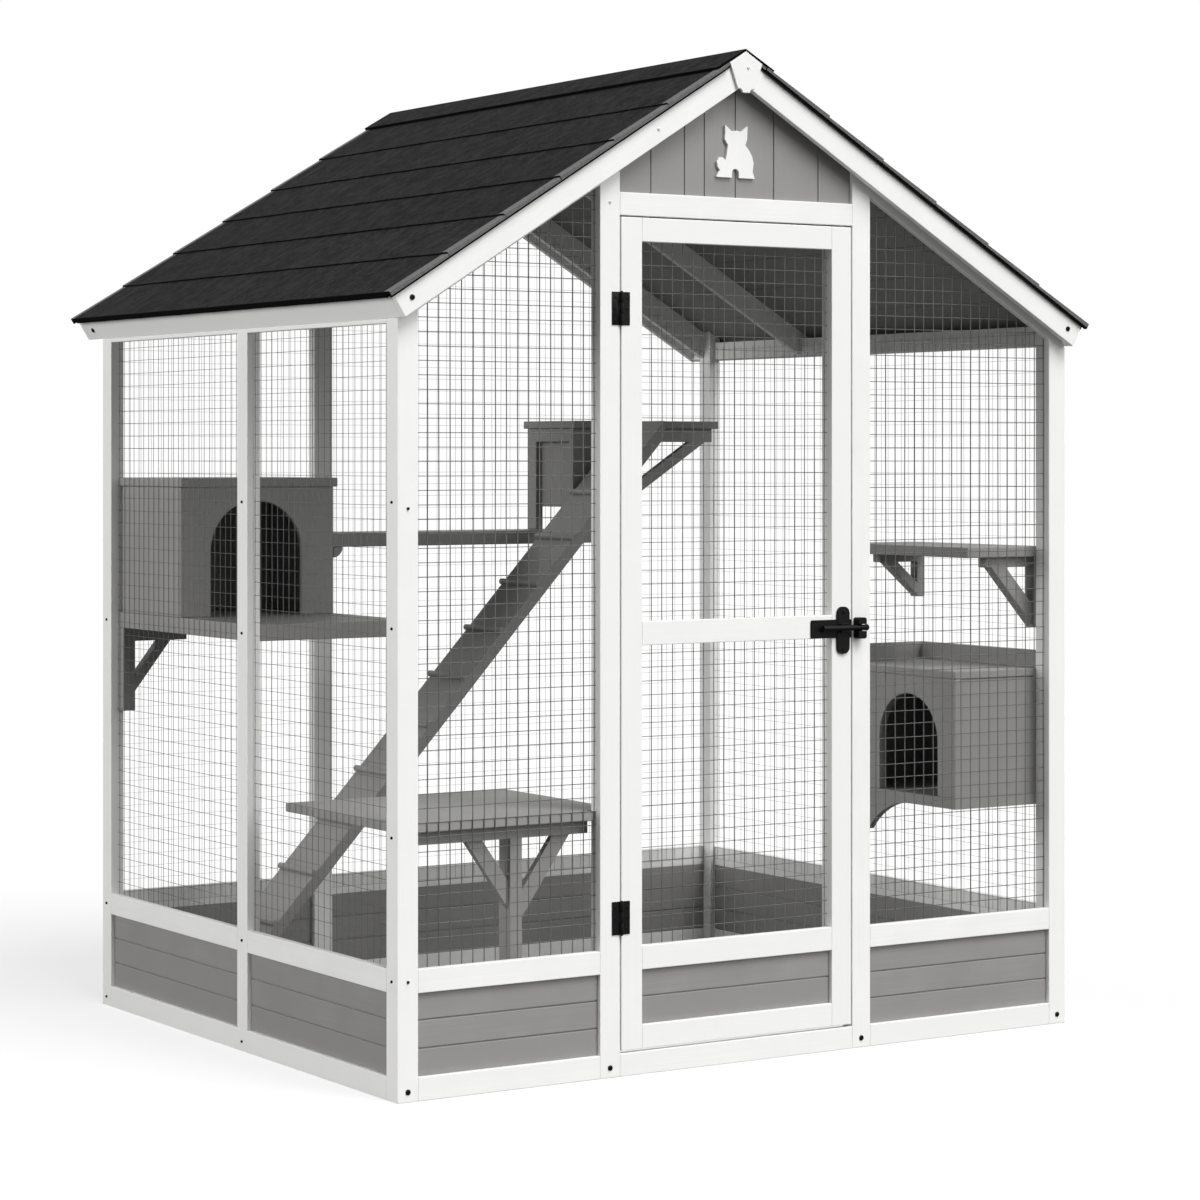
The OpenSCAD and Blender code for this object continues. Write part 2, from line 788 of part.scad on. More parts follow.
// Planted block that covers the joint of the rake boards at the ridge
module ridge_block() color(paint_white) framed() {
    rise = 6;
    top_half = 40;
    foot_half = 17;
    scallop_r = 8;
    foot_z = ridge_z - ridge_block_h;
    translate([0, roof_y0, 0])
    rotate([90, 0, 0])
    linear_extrude(ridge_block_t)
    difference() {
        polygon([
            [ridge_x, ridge_z + rise],
            [ridge_x - top_half, roof_z(ridge_x - top_half) + rise],
            [ridge_x - foot_half, foot_z],
            [ridge_x + foot_half, foot_z],
            [ridge_x + top_half, roof_z(ridge_x + top_half) + rise]
        ]);
        for (m = [-1, 1]) translate([ridge_x + m * foot_half, foot_z]) circle(scallop_r);
    }
}

// Ridge beam and rafters
module ridge_beam() color(paint_white) framed()
    intersection() {
        block(
            [ridge_x - beam_w / 2, rail_t, ridge_z - beam_h],
            [ridge_x + beam_w / 2, roof_y1 - rake_t, ridge_z]
        );
        under_roof(0, roof_y1);
    }

module rafters() color(paint_white) framed()
    difference() {
        for (side = [-1, 1])
            slope_board(
                side, 0, slope_len(side) - fascia_t, rafter_y, rafter_y + rafter_t, -rafter_h, 0
            );
        block(
            [ridge_x - beam_w / 2, rafter_y - 1, 0],
            [ridge_x + beam_w / 2, rafter_y + rafter_t + 1, ridge_z]
        );
        block([-cut_room, rafter_y - 1, 0], [wire_y, rafter_y + rafter_t + 1, plate_left_top]);
        block(
            [frame_w - wire_y, rafter_y - 1, 0],
            [frame_w + cut_room, rafter_y + rafter_t + 1, plate_right_top]
        );
    }

// Roof covering
module roof_decks() color(paint_grey) framed()
    difference() {
        for (side = [-1, 1])
            slope_board(side, -ridge_lap, slope_len(side), roof_y0, roof_y1, 0, deck_t);
        ridge_cut(roof_y0, roof_y1);
    }

// Outline of the courses of shingles on one side, down to the given length along the slope:
// each course laps the one below and is thickest at its lower edge.
function course_outline(len) =
    let (exposure = (len - cap_leg) / course_count)
    concat(
        [
            [len, deck_t], [-ridge_lap, deck_t],
            [-ridge_lap, deck_t + shingle_t], [cap_leg, deck_t + shingle_t]
        ],
        [for (i = [1 : course_count], lower = [false, true])
            lower && i < course_count
                ? [cap_leg + i * exposure, deck_t + shingle_t]
                : [cap_leg + i * exposure, deck_t + 2 * shingle_t]
        ]
    );

module shingles(side)
    intersection() {
        on_slope(side)
        translate([0, shingle_y1, 0])
        rotate([90, 0, 0])
        linear_extrude(shingle_y1 - shingle_y0)
        polygon(course_outline(slope_len(side) + shingle_drip));
        one_side(side, shingle_y0 - 1, shingle_y1 + 1);
    }

module shingles_left() color(asphalt) framed() shingles(-1);

module shingles_right() color(asphalt) framed() shingles(1);

module ridge_cap() color(asphalt) framed()
    for (side = [-1, 1])
        slope_board(
            side, -ridge_lap, cap_leg, shingle_y0, shingle_y1,
            deck_t + shingle_t, deck_t + 2.6 * shingle_t
        );

// Round bolt and screw heads on the frame
module head_y(x, y, z, r) translate([x, y, z]) rotate([90, 0, 0]) cylinder(h = 3, r = r);

module head_x(y, z, r) translate([0, y, z]) rotate([0, -90, 0]) cylinder(h = 3, r = r);

module frame_bolts() color(black_metal) framed() {
    head_r = 5.5;
    screw_r = 3;
    low = bottom_rail_h / 2 - 3;
    kick_mid = kick_z + kick_rail_h / 2;
    shelf_mid = shelf_left_z - shelf_left_t / 2;
    box_top = box_left_z0 + house_left_h;
    mid_left = mid_post_left_y + mid_post_w / 2;
    rear_left = frame_d - front_post / 2;
    door_mid_left = door_post_left_x + mid_post_w / 2;
    door_mid_right = door_x1 + mid_post_w / 2;
    rake_bolt_x = rail_t;
    rake_screw_x = ridge_x * 0.734;
    drop = rake_h * 0.56;
    head_y(front_post / 2, 0, low, head_r);
    for (z = [kick_mid, box_top - lid_t * 1.6]) head_y(front_post / 2, 0, z, screw_r);
    for (z = [kick_mid, table_z - table_t - 6, shelf_left_z + lid_t, box_top - lid_t])
        head_x(front_post / 2, z, screw_r);
    for (z = [low, kick_mid, shelf_mid, box_top - 27]) head_x(mid_left, z, screw_r);
    for (z = [low, kick_mid, shelf_mid]) head_x(rear_left, z, screw_r);
    head_y(door_mid_left, 0, low, head_r);
    head_y(door_mid_right, 0, low, head_r);
    head_y(door_mid_left, 0, roof_z(door_mid_left) - 2 * slope_rail_h, screw_r);
    head_y(frame_w - front_post / 2, 0, low, head_r);
    head_y(rake_bolt_x, roof_y0, roof_z(rake_bolt_x) - drop, head_r);
    head_y(frame_w - rake_bolt_x, roof_y0, roof_z(frame_w - rake_bolt_x) - drop, head_r);
    head_y(rake_screw_x, roof_y0, roof_z(rake_screw_x) - drop, screw_r);
    head_y(ridge_x + 5, roof_y0 - ridge_block_t, ridge_z - ridge_block_h * 0.3, screw_r);
    on_slope(-1)
    translate([left_len, frame_d + overhang_rear / 3, -rake_h / 2])
    rotate([0, 90, 0])
    cylinder(h = 3, r = head_r);
}

// Door
module door_stiles() color(paint_white) framed() {
    block([leaf_x0, 0, leaf_z0], [leaf_x0 + stile_w, stile_t, leaf_z1]);
    block([leaf_x1 - stile_w, 0, leaf_z0], [leaf_x1, stile_t, leaf_z1]);
}

module door_rails() color(paint_white) framed()
    for (z = [leaf_z0, door_kick_z, lock_rail_z, leaf_z1 - door_rail_h])
        block([leaf_x0 + stile_w, 0, z], [leaf_x1 - stile_w, rail_t, z + door_rail_h]);

module door_cladding() color(paint_grey) framed()
    board_stack(
        [leaf_x0 + stile_w, board_inset, door_board_z],
        [leaf_x1 - stile_w, rail_t, door_kick_z],
        door_board_count
    );

module door_mesh() color(wire_grey) framed() {
    z0 = door_kick_z + door_rail_h - wire_lap;
    translate([leaf_x0 + stile_w, rail_t + wire_t, z0])
    rotate([90, 0, 0])
    linear_extrude(wire_t)
    wire_grid(leaf_x1 - leaf_x0 - 2 * stile_w, leaf_z1 - door_rail_h + wire_lap - z0);
}

// Heights of a hinge's knuckles: the post's leaf has the outer two, the door's the middle one.
knuckle_h = (hinge_h - 2 * knuckle_gap) / 3;
module knuckle(z, i)
    translate([pin_x, pin_y, z + i * (knuckle_h + knuckle_gap)])
    cylinder(h = knuckle_h, r = knuckle_r);

// Room that the other leaf's knuckle needs
module knuckle_room(z, i)
    translate([pin_x, pin_y, z + i * (knuckle_h + knuckle_gap) - knuckle_gap])
    cylinder(h = knuckle_h + 2 * knuckle_gap, r = knuckle_r + knuckle_gap);

module hinge_leaves_post() color(black_metal) framed()
    for (z = hinge_levels) {
        difference() {
            block([pin_x - hinge_w / 2, -leaf_t, z], [pin_x, 0, z + hinge_h]);
            knuckle_room(z, 1);
            block(
                [pin_x - knuckle_r - knuckle_gap, -leaf_t - 1, z + knuckle_h],
                [pin_x + 1, 1, z + hinge_h - knuckle_h]
            );
        }
        knuckle(z, 0);
        knuckle(z, 2);
        translate([pin_x, pin_y, z - 2]) cylinder(h = hinge_h + 4, r = pin_r);
    }

module hinge_leaves_door() color(black_metal) framed()
    for (z = hinge_levels)
        difference() {
            union() {
                block([pin_x + knuckle_r + knuckle_gap, -leaf_t, z], [pin_x + hinge_w / 2, 0, z + hinge_h]);
                block(
                    [pin_x, -leaf_t, z + knuckle_h + knuckle_gap],
                    [pin_x + knuckle_r + 1, 0, z + hinge_h - knuckle_h - knuckle_gap]
                );
                knuckle(z, 1);
            }
            translate([pin_x, pin_y, z - 5]) cylinder(h = hinge_h + 10, r = pin_r + pin_play);
        }

// Sliding bolt: a plate with an upright strap and a saddle on the door, the bolt, and a forked
// keeper on the post.
module rounded_plate(x, z, w, h, y0, y1, r)
    translate([x, y1, z])
    rotate([90, 0, 0])
    linear_extrude(y1 - y0)
    union() {
        translate([-w / 2 + r, -h / 2]) square([w - 2 * r, h]);
        translate([-w / 2, -h / 2 + r]) square([w, h - 2 * r]);
        for (a = [-1, 1], b = [-1, 1])
            translate([a * (w / 2 - r), b * (h / 2 - r)]) circle(r);
    }

module latch_plate() color(black_metal) framed() {
    saddle_w = 24;
    plate_mid = latch_x1 - latch_plate_w / 2;
    rounded_plate(plate_mid, bolt_z - 1.5, latch_plate_w, latch_plate_h, -latch_plate_t, 0, 4);
    rounded_plate(strap_x, bolt_z - 5, strap_w, strap_h, -latch_plate_t - 2, 0, 14);
    for (z = [bolt_z + 34, bolt_z - 44]) head_y(strap_x, -latch_plate_t - 1, z, 4);
    difference() {
        block(
            [strap_x - saddle_w / 2, -bolt_stand - 1.5, bolt_z - bolt_r - 3],
            [strap_x + saddle_w / 2, -latch_plate_t, bolt_z + bolt_r + 3]
        );
        translate([strap_x - saddle_w, -bolt_stand, bolt_z])
        rotate([0, 90, 0])
        cylinder(h = 2 * saddle_w, r = bolt_r + bolt_play);
    }
}

module latch_bolt() color(black_metal) framed()
    translate([bolt_x0, -bolt_stand, bolt_z])
    rotate([0, 90, 0]) {
        cylinder(h = bolt_len, r = bolt_r);
        translate([0, 0, bolt_len]) sphere(bolt_tip_r);
    }

module latch_keeper() color(black_metal) framed() {
    slot = bolt_tip_r + 0.4;
    keeper_z = bolt_z - 1;
    difference() {
        union() {
            rounded_plate(
                keeper_x + keeper_w / 2, keeper_z, keeper_w, keeper_h, -latch_plate_t, 0, 5
            );
            rounded_plate(
                keeper_x + keeper_w / 2, keeper_z, keeper_w, keeper_h,
                -bolt_stand - bolt_tip_r, 0, 5
            );
        }
        block(
            [keeper_x - 1, -bolt_stand - bolt_tip_r - 1, bolt_z - slot],
            [keeper_x + keeper_w + 1, -latch_plate_t, bolt_z + slot]
        );
    }
}

// Table in the front left corner
module table_top() color(paint_grey) framed()
    difference() {
        block([inner_x0, inner_y0, table_z - table_t], [table_x1, table_y1, table_z]);
        block([door_post_left_x, 0, 0], [table_x1 + 1, front_post, table_z + 1]);
        block([0, 0, 0], [front_post, front_post, table_z + 1]);
    }

module table_frame() color(paint_grey) framed() {
    apron_top = table_z - table_t;
    apron_z = apron_top - apron_h;
    apron_y0 = front_post;
    apron_t = 16;
    apron_x1 = door_post_left_x - 1;
    strut_t = 15;
    strut_fall = tan(strut_slope);
    block([inner_x0 + 30, apron_y0, apron_z], [apron_x1, apron_y0 + apron_t, apron_top]);
    block(
        [leg_x - leg_w / 2, apron_y0, 0],
        [leg_x + leg_w / 2, apron_y0 + leg_d, apron_top]
    );
    for (side = [-1, 1])
        translate([leg_x, apron_y0 + apron_t / 2 + strut_t, apron_z])
        mirror([side < 0 ? 1 : 0, 0, 0])
        rotate([90, 0, 0])
        linear_extrude(strut_t)
        translate([leg_w / 2, 0])
        let (run = side < 0 ? strut_left_run : strut_right_run)
        polygon([
            [-1, -(run + 1) * strut_fall], [-1, -(run - strut_w + 1) * strut_fall],
            [run - strut_w, 0], [run - strut_w, 1], [run, 1], [run, 0]
        ]);
    block(
        [apron_x1 - apron_t, apron_y0 + apron_t, apron_z],
        [apron_x1, table_y1 - 12, apron_top]
    );
}

// Ramp from the ground to the perch
module on_ramp()
    translate([ramp_x0, 0, 0])
    rotate([0, -ramp_slope, 0])
    children();

module ramp_board() color(paint_grey) framed()
    intersection() {
        on_ramp()
        block([-2 * ramp_t, ramp_y0, 0], [ramp_len + 2 * ramp_t, ramp_y1, ramp_t]);
        block([0, ramp_y0 - 1, 0], [ramp_x1, ramp_y1 + 1, ramp_top_z]);
    }

module ramp_cleats() color(paint_grey) framed()
    on_ramp()
    for (i = [0 : cleat_count - 1])
        translate([cleat_start + i * cleat_pitch, ramp_y1 + cleat_over, ramp_t])
        rotate([90, 0, 0])
        linear_extrude(ramp_y1 - ramp_y0 + 2 * cleat_over)
        intersection() {
            translate([0, cleat_h - cleat_r]) circle(cleat_r);
            translate([-cleat_r, 0]) square([2 * cleat_r, cleat_h]);
        }

// Shelves
module shelf_left() color(paint_grey) framed()
    difference() {
        block(
            [inner_x0, shelf_left_y0, shelf_left_z - shelf_left_t],
            [shelf_left_x1, post_rear_y0, shelf_left_z]
        );
        block(
            [0, mid_post_left_y - 1, 0],
            [mid_post_t, mid_post_left_y + mid_post_w, ridge_z]
        );
    }

module shelf_right() color(paint_grey) framed()
    block(
        [shelf_right_x0, front_post, shelf_right_z - shelf_right_t],
        [inner_x1, shelf_right_y1, shelf_right_z]
    );

module shelf_rear() color(paint_grey) framed()
    block(
        [shelf_left_x1 - 4, shelf_rear_y0, shelf_rear_z - shelf_rear_t],
        [shelf_rear_x1, frame_d - mid_post_t, shelf_rear_z]
    );

// Brackets under the left shelf, the right shelf and the rear shelf's left end
module shelf_brackets() color(paint_grey) framed() {
    front_inset = 16;
    rear_inset = 7;
    corbel_x = mid_post_rear_x - 39;
    corbel_t = 15;
    right_z = shelf_right_z - shelf_right_t;
    rear_z = shelf_rear_z - shelf_rear_t;
    translate([inner_x0, post_rear_y0, shelf_left_z - shelf_left_t])
    bracket(
        bracket_left_reach, bracket_left_drop, [0.575, 0.75], 0.77, bracket_left_bar, bracket_t
    );
    translate([inner_x1, front_post + front_inset + bracket_t, right_z])
    mirror([1, 0, 0])
    bracket(
        bracket_front_reach, bracket_front_drop, [0.63, 0.91], 0.98,
        bracket_right_bar, bracket_t
    );
    translate([inner_x1, shelf_right_y1 - rear_inset, right_z])
    mirror([1, 0, 0])
    bracket(
        bracket_rear_reach, bracket_rear_drop, [0.6, 0.87], 0.97, bracket_right_bar, bracket_t
    );
    intersection() {
        translate([corbel_x, shelf_rear_y0 + corbel_t, rear_z])
        rotate([90, 0, 0])
        cylinder(h = corbel_t, r = corbel_r);
        block(
            [corbel_x, shelf_rear_y0, rear_z - corbel_r],
            [corbel_x + corbel_r, shelf_rear_y0 + corbel_t, rear_z]
        );
    }
}

// Left shelter box, standing on the left shelf
module house_left_ends() color(paint_grey) framed() {
    difference() {
        block(
            [inner_x0, house_left_y0, box_left_z0],
            [house_left_x1, house_left_y0 + wall_t, box_left_z0 + house_left_h]
        );
        translate([arch_left_x, house_left_y0 + wall_t + 1, box_left_z0])
        rotate([90, 0, 0])
        linear_extrude(wall_t + 2)
        arch(arch_left_w, arch_left_h);
    }
    block(
        [inner_x0, house_left_y1 - wall_t, box_left_z0],
        [house_left_x1, house_left_y1, box_left_z0 + house_left_h]
    );
}

module house_left_sides() color(paint_grey) framed()
    for (x = [inner_x0, house_left_x1 - wall_t])
        block(
            [x, house_left_y0 + wall_t, box_left_z0],
            [x + wall_t, house_left_y1 - wall_t, box_left_z0 + house_left_h]
        );

module house_left_roof() color(paint_grey) framed() {
    over_front = 2;
    over_side = 10;
    block(
        [inner_x0, house_left_y0 - over_front, box_left_z0 + house_left_h],
        [house_left_x1 + over_side, post_rear_y0, box_left_z0 + house_left_h + lid_t]
    );
}

// Right shelter box, beside the front right post
module house_right_ends() color(paint_grey) framed() {
    difference() {
        block(
            [house_right_x0, house_right_y0, house_right_z],
            [house_right_x0 + arch_panel_t, house_right_y1, house_right_z + house_right_h]
        );
        translate([house_right_x0 - 1, arch_right_y, house_right_z])
        rotate([90, 0, 90])
        linear_extrude(arch_panel_t + 2)
        arch(arch_right_w, arch_right_h);
    }
    block(
        [house_right_x1 - wall_t, house_right_y0 + house_right_set, house_right_z],
        [house_right_x1, house_right_y1 - house_right_set, house_right_z + house_right_h]
    );
}

module house_right_sides() color(paint_grey) framed()
    for (y = [house_right_y0 + house_right_set, house_right_y1 - house_right_set - wall_t])
        block(
            [house_right_x0 + arch_panel_t, y, house_right_z],
            [house_right_x1 - wall_t, y + wall_t, house_right_z + house_right_h]
        );

// Its roof board with a raised rim at the back and the wall side
module house_right_roof() color(paint_grey) framed() {
    z0 = house_right_z + house_right_h;
    roof_z1 = z0 + lid_right_t;
    block([house_right_x0, house_right_y0, z0], [inner_x1, house_right_y1, roof_z1]);
    block(
        [house_right_x0, house_right_y1 - rim_t, roof_z1],
        [inner_x1, house_right_y1, roof_z1 + rim_h]
    );
    block(
        [inner_x1 - rim_t, house_right_y0, roof_z1],
        [inner_x1, house_right_y1, roof_z1 + rim_h]
    );
}

// Its floor board, with the curved bracket panel below
module house_right_floor() color(paint_grey) framed() {
    z0 = house_right_z - house_floor_t;
    curve_y = house_right_y0 + 162;
    block([house_right_x0, house_right_y0, z0], [inner_x1, house_right_y1, house_right_z]);
    translate([house_right_x0, 0, z0])
    rotate([90, 0, 90])
    linear_extrude(rim_t)
    difference() {
        translate([curve_y, -curve_panel_h])
        square([house_right_y1 - curve_y, curve_panel_h + 1]);
        translate([curve_y, -curve_r]) circle(curve_r);
    }
}

// Perch at the top of the ramp
module perch_board() color(paint_grey) framed()
    block([perch_x0, ramp_y1, perch_z - perch_t], [perch_x1, inner_y1, perch_z]);

// Leg, front panel, set-back side panel, aprons and strut under the perch
module perch_box() color(paint_grey) framed() {
    under = perch_z - perch_t;
    panel_t = 15;
    apron_t = 16;
    x0 = perch_x0 + 4;
    y0 = ramp_y1 + 17;
    leg_y1 = inner_y1 - 12;
    leg_y0 = leg_y1 - perch_leg_d;
    fall = tan(perch_strut_slope);
    block([x0, leg_y0, shelf_rear_z], [x0 + perch_leg_w, leg_y1, under]);
    block([x0, y0, perch_box_z0], [perch_box_x1, y0 + panel_t, under]);
    block([x0, y0 + panel_t, under - perch_apron_h], [x0 + apron_t, leg_y0, under]);
    block(
        [x0 + apron_t, y0 + panel_t, perch_box_z0],
        [x0 + apron_t + panel_t, leg_y0, under]
    );
    block([perch_box_x1, y0, under - perch_apron_h], [perch_x1 - 8, y0 + panel_t, under]);
    translate([perch_box_x1, y0 + panel_t, under - perch_apron_h])
    rotate([90, 0, 0])
    linear_extrude(panel_t)
    polygon([
        [-1, -perch_strut_reach * fall],
        [-1, -(perch_strut_reach - perch_strut_w) * fall],
        [perch_strut_reach - perch_strut_w, 1],
        [perch_strut_reach, 1]
    ]);
}

post_front_left();
post_front_right();
posts_rear();
posts_door();
posts_mid();
rails_left();
rails_right();
rails_rear();
rails_front_left();
rails_front_right();
door_sill();
door_header();
cladding_left();
cladding_right();
cladding_rear();
cladding_front();
mesh_left();
mesh_right();
mesh_rear();
mesh_front();
gable_boards();
gable_figure();
rake_boards_front();
rake_boards_rear();
verge_battens();
ridge_block();
fascias();
ridge_beam();
rafters();
roof_decks();
shingles_left();
shingles_right();
ridge_cap();
frame_bolts();
door_stiles();
door_rails();
door_cladding();
door_mesh();
hinge_leaves_post();
hinge_leaves_door();
latch_plate();
latch_bolt();
latch_keeper();
table_top();
table_frame();
ramp_board();
ramp_cleats();
shelf_left();
shelf_brackets();
house_left_ends();
house_left_sides();
house_left_roof();
shelf_right();
shelf_rear();
house_right_ends();
house_right_sides();
house_right_roof();
house_right_floor();
perch_board();
perch_box();
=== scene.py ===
"""Dresses the outdoor cat enclosure: painted timber, wire panels, shingles, hardware, stage."""

import json
import math
import random

import bmesh
import bpy
import numpy as np
from mathutils import Euler, Matrix, Vector
from mathutils.bvhtree import BVHTree

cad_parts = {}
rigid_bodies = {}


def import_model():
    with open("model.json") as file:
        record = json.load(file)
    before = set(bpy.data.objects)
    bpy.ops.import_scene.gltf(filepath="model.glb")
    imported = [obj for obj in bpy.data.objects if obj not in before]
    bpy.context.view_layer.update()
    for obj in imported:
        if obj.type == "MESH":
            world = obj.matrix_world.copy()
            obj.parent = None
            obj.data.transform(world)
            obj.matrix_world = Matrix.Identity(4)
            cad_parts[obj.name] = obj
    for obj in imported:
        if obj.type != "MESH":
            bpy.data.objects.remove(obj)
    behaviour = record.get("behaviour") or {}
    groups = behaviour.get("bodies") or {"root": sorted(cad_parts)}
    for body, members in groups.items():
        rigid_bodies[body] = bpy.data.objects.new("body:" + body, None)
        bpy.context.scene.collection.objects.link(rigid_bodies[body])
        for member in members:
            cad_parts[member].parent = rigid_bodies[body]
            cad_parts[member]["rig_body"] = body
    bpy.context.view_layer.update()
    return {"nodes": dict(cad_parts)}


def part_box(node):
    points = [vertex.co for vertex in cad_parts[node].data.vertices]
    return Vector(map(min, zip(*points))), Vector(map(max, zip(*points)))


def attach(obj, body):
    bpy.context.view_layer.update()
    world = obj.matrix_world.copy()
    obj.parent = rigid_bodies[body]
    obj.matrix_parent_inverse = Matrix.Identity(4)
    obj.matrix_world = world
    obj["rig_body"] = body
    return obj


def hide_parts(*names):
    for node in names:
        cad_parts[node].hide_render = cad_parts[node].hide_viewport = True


bl_info = {
    "name": "Outdoor cat enclosure",
    "version": (1, 0, 0),
    "blender": (4, 5, 0),
    "location": "View3D > Sidebar > Enclosure",
    "description": "Finishes for a timber cat enclosure with wire panels and a shingled roof",
    "category": "Object",
}

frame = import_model()
MM = 0.001

WHITE_TIMBER = (
    "post_front_left", "post_front_right", "posts_rear", "posts_door", "posts_mid",
    "rails_left", "rails_right", "rails_rear", "rails_front_left", "rails_front_right",
    "door_sill", "door_header", "rake_boards_front", "rake_boards_rear", "verge_battens",
    "ridge_block", "fascias", "ridge_beam", "rafters", "door_stiles", "door_rails",
)
GREY_FITTINGS = (
    "table_top", "table_frame", "ramp_board", "ramp_cleats", "shelf_left", "shelf_brackets",
    "house_left_ends", "house_left_sides", "house_left_roof", "shelf_right", "shelf_rear",
    "house_right_ends", "house_right_sides", "house_right_roof", "house_right_floor",
    "perch_board", "perch_box",
)
BOARDING = (
    "cladding_left", "cladding_right", "cladding_rear", "cladding_front", "door_cladding",
    "gable_boards",
)
STEEL = ("hinge_leaves_post", "hinge_leaves_door", "latch_plate", "latch_bolt", "latch_keeper")
SLOPING_TOPS = ("mesh_front", "mesh_rear")
MATERIALS = {
    "white": "satin_white_timber", "grey": "satin_grey_timber", "felt": "slate_grit_felt",
    "steel": "black_powder_coat", "wire": "galvanised_wire",
}

# Thickness of the roof deck and of a hinge leaf
DECK_T = 7 * MM
LEAF_T = 2 * MM
# Width of the felt's fold on the verge, and how far its lip stays off the deck's underside
FOLD = 21 * MM
FELT_LIP = 0.6 * MM
# The ridge cap and the felt below it start this far back, behind the ridge block
BEHIND_BLOCK = 4.5 * MM
# The head of the ridge block is lifted, to reach up in front of the felt
BLOCK_HEAD = 45 * MM
BLOCK_LIFT = 5 * MM
# Bolt heads above this level and this near the middle are painted over
PAINTED_ABOVE = 1450 * MM
PAINTED_WITHIN = 600 * MM
# Tone of pieces that don't differ from each other
MID_TONE = 0.5
# Name, strength, degrees to the right of straight ahead, degrees above the floor
LAMPS = (("key", 3.05, 12, 56), ("front", 1.25, 25, 20), ("left", 2.05, -100, 14))


def length(name, description, size):
    """A property that holds a length."""
    return bpy.props.FloatProperty(
        name=name, description=description, default=size, unit="LENGTH"
    )


def paint(name, description, hex_colour):
    """A property that holds a colour."""
    return bpy.props.StringProperty(name=name, description=description, default=hex_colour)


class EnclosureSizes(bpy.types.PropertyGroup):
    """Sizes of what is added to the timber frame"""

    wire_pitch: length("Wire pitch", "Spacing of the upright wires", 25.4 * MM)
    row_pitch: length("Row pitch", "Spacing of the level wires", 27.8 * MM)
    wire_diameter: length("Wire diameter", "Thickness of the wire in the front panels", 2.1 * MM)
    door_wire: length("Door wire", "Thickness of the wire in the door", 1.8 * MM)
    side_wire: length("Side wire", "Thickness of the wire in the left panels", 1.25 * MM)
    fine_wire: length("Fine wire", "Thickness of the right and rear panels' wire", 0.7 * MM)
    level_share: bpy.props.FloatProperty(
        name="Level wires", description="Thickness of the level wires against the uprights'",
        default=0.85, subtype="FACTOR",
    )
    wire_wander: length("Wire wander", "How far a wire strays from straight", 0.7 * MM)
    edge_round: length("Edge rounding", "Rounding of planed timber edges", 1.4 * MM)
    seam_round: length("Seam rounding", "Rounding of grey boards, seen as seams", 2.2 * MM)
    steel_round: length("Steel rounding", "Rounding of pressed steel edges", 0.7 * MM)
    courses: bpy.props.IntProperty(
        name="Courses", description="Courses of shingles on each side", default=6
    )
    cap_leg: length("Ridge cap leg", "Length of the ridge cap down each side", 73 * MM)
    strip_length: length("Strip length", "Length of a shingle strip along the roof", 1000 * MM)
    shingle_t: length("Shingle thickness", "Thickness of one shingle", 3.4 * MM)


class EnclosureFinishes(bpy.types.PropertyGroup):
    """Colours of the finishes, as sRGB hex values"""

    white_paint: paint("White paint", "Satin paint on the frame", "#EFEFED")
    grey_paint: paint("Grey paint", "Satin paint on boards and fittings", "#8E8D8B")
    felt: paint("Shingle felt", "Mineral felt of the shingles", "#1B1B1B")
    steel: paint("Coated steel", "Powder coat of hinges and bolt", "#0D0D0D")
    zinc: paint("Zinc", "Galvanised wire", "#5C5E5E")


def linear(hex_colour):
    """An sRGB hex colour as the linear RGBA that Blender works in."""
    values = [int(hex_colour[i : i + 2], 16) / 255 for i in (1, 3, 5)]
    curve = [v / 12.92 if v <= 0.04045 else ((v + 0.055) / 1.055) ** 2.4 for v in values]
    return (*curve, 1.0)


def shaded(hex_colour, factor):
    """A linear colour made lighter or darker."""
    red, green, blue, alpha = linear(hex_colour)
    return (red * factor, green * factor, blue * factor, alpha)


def add(tree, kind, inputs=None, **settings):
    """Adds a node with its settings, values and links."""
    node = tree.nodes.new(kind)
    for key, value in settings.items():
        setattr(node, key, value)
    for key, value in (inputs or {}).items():
        if isinstance(value, bpy.types.NodeSocket):
            tree.links.new(value, node.inputs[key])
        else:
            node.inputs[key].default_value = value
    return node


def new_material(name):
    """An empty node material."""
    material = bpy.data.materials.get(name) or bpy.data.materials.new(name)
    material.use_nodes = True
    material.node_tree.nodes.clear()
    return material


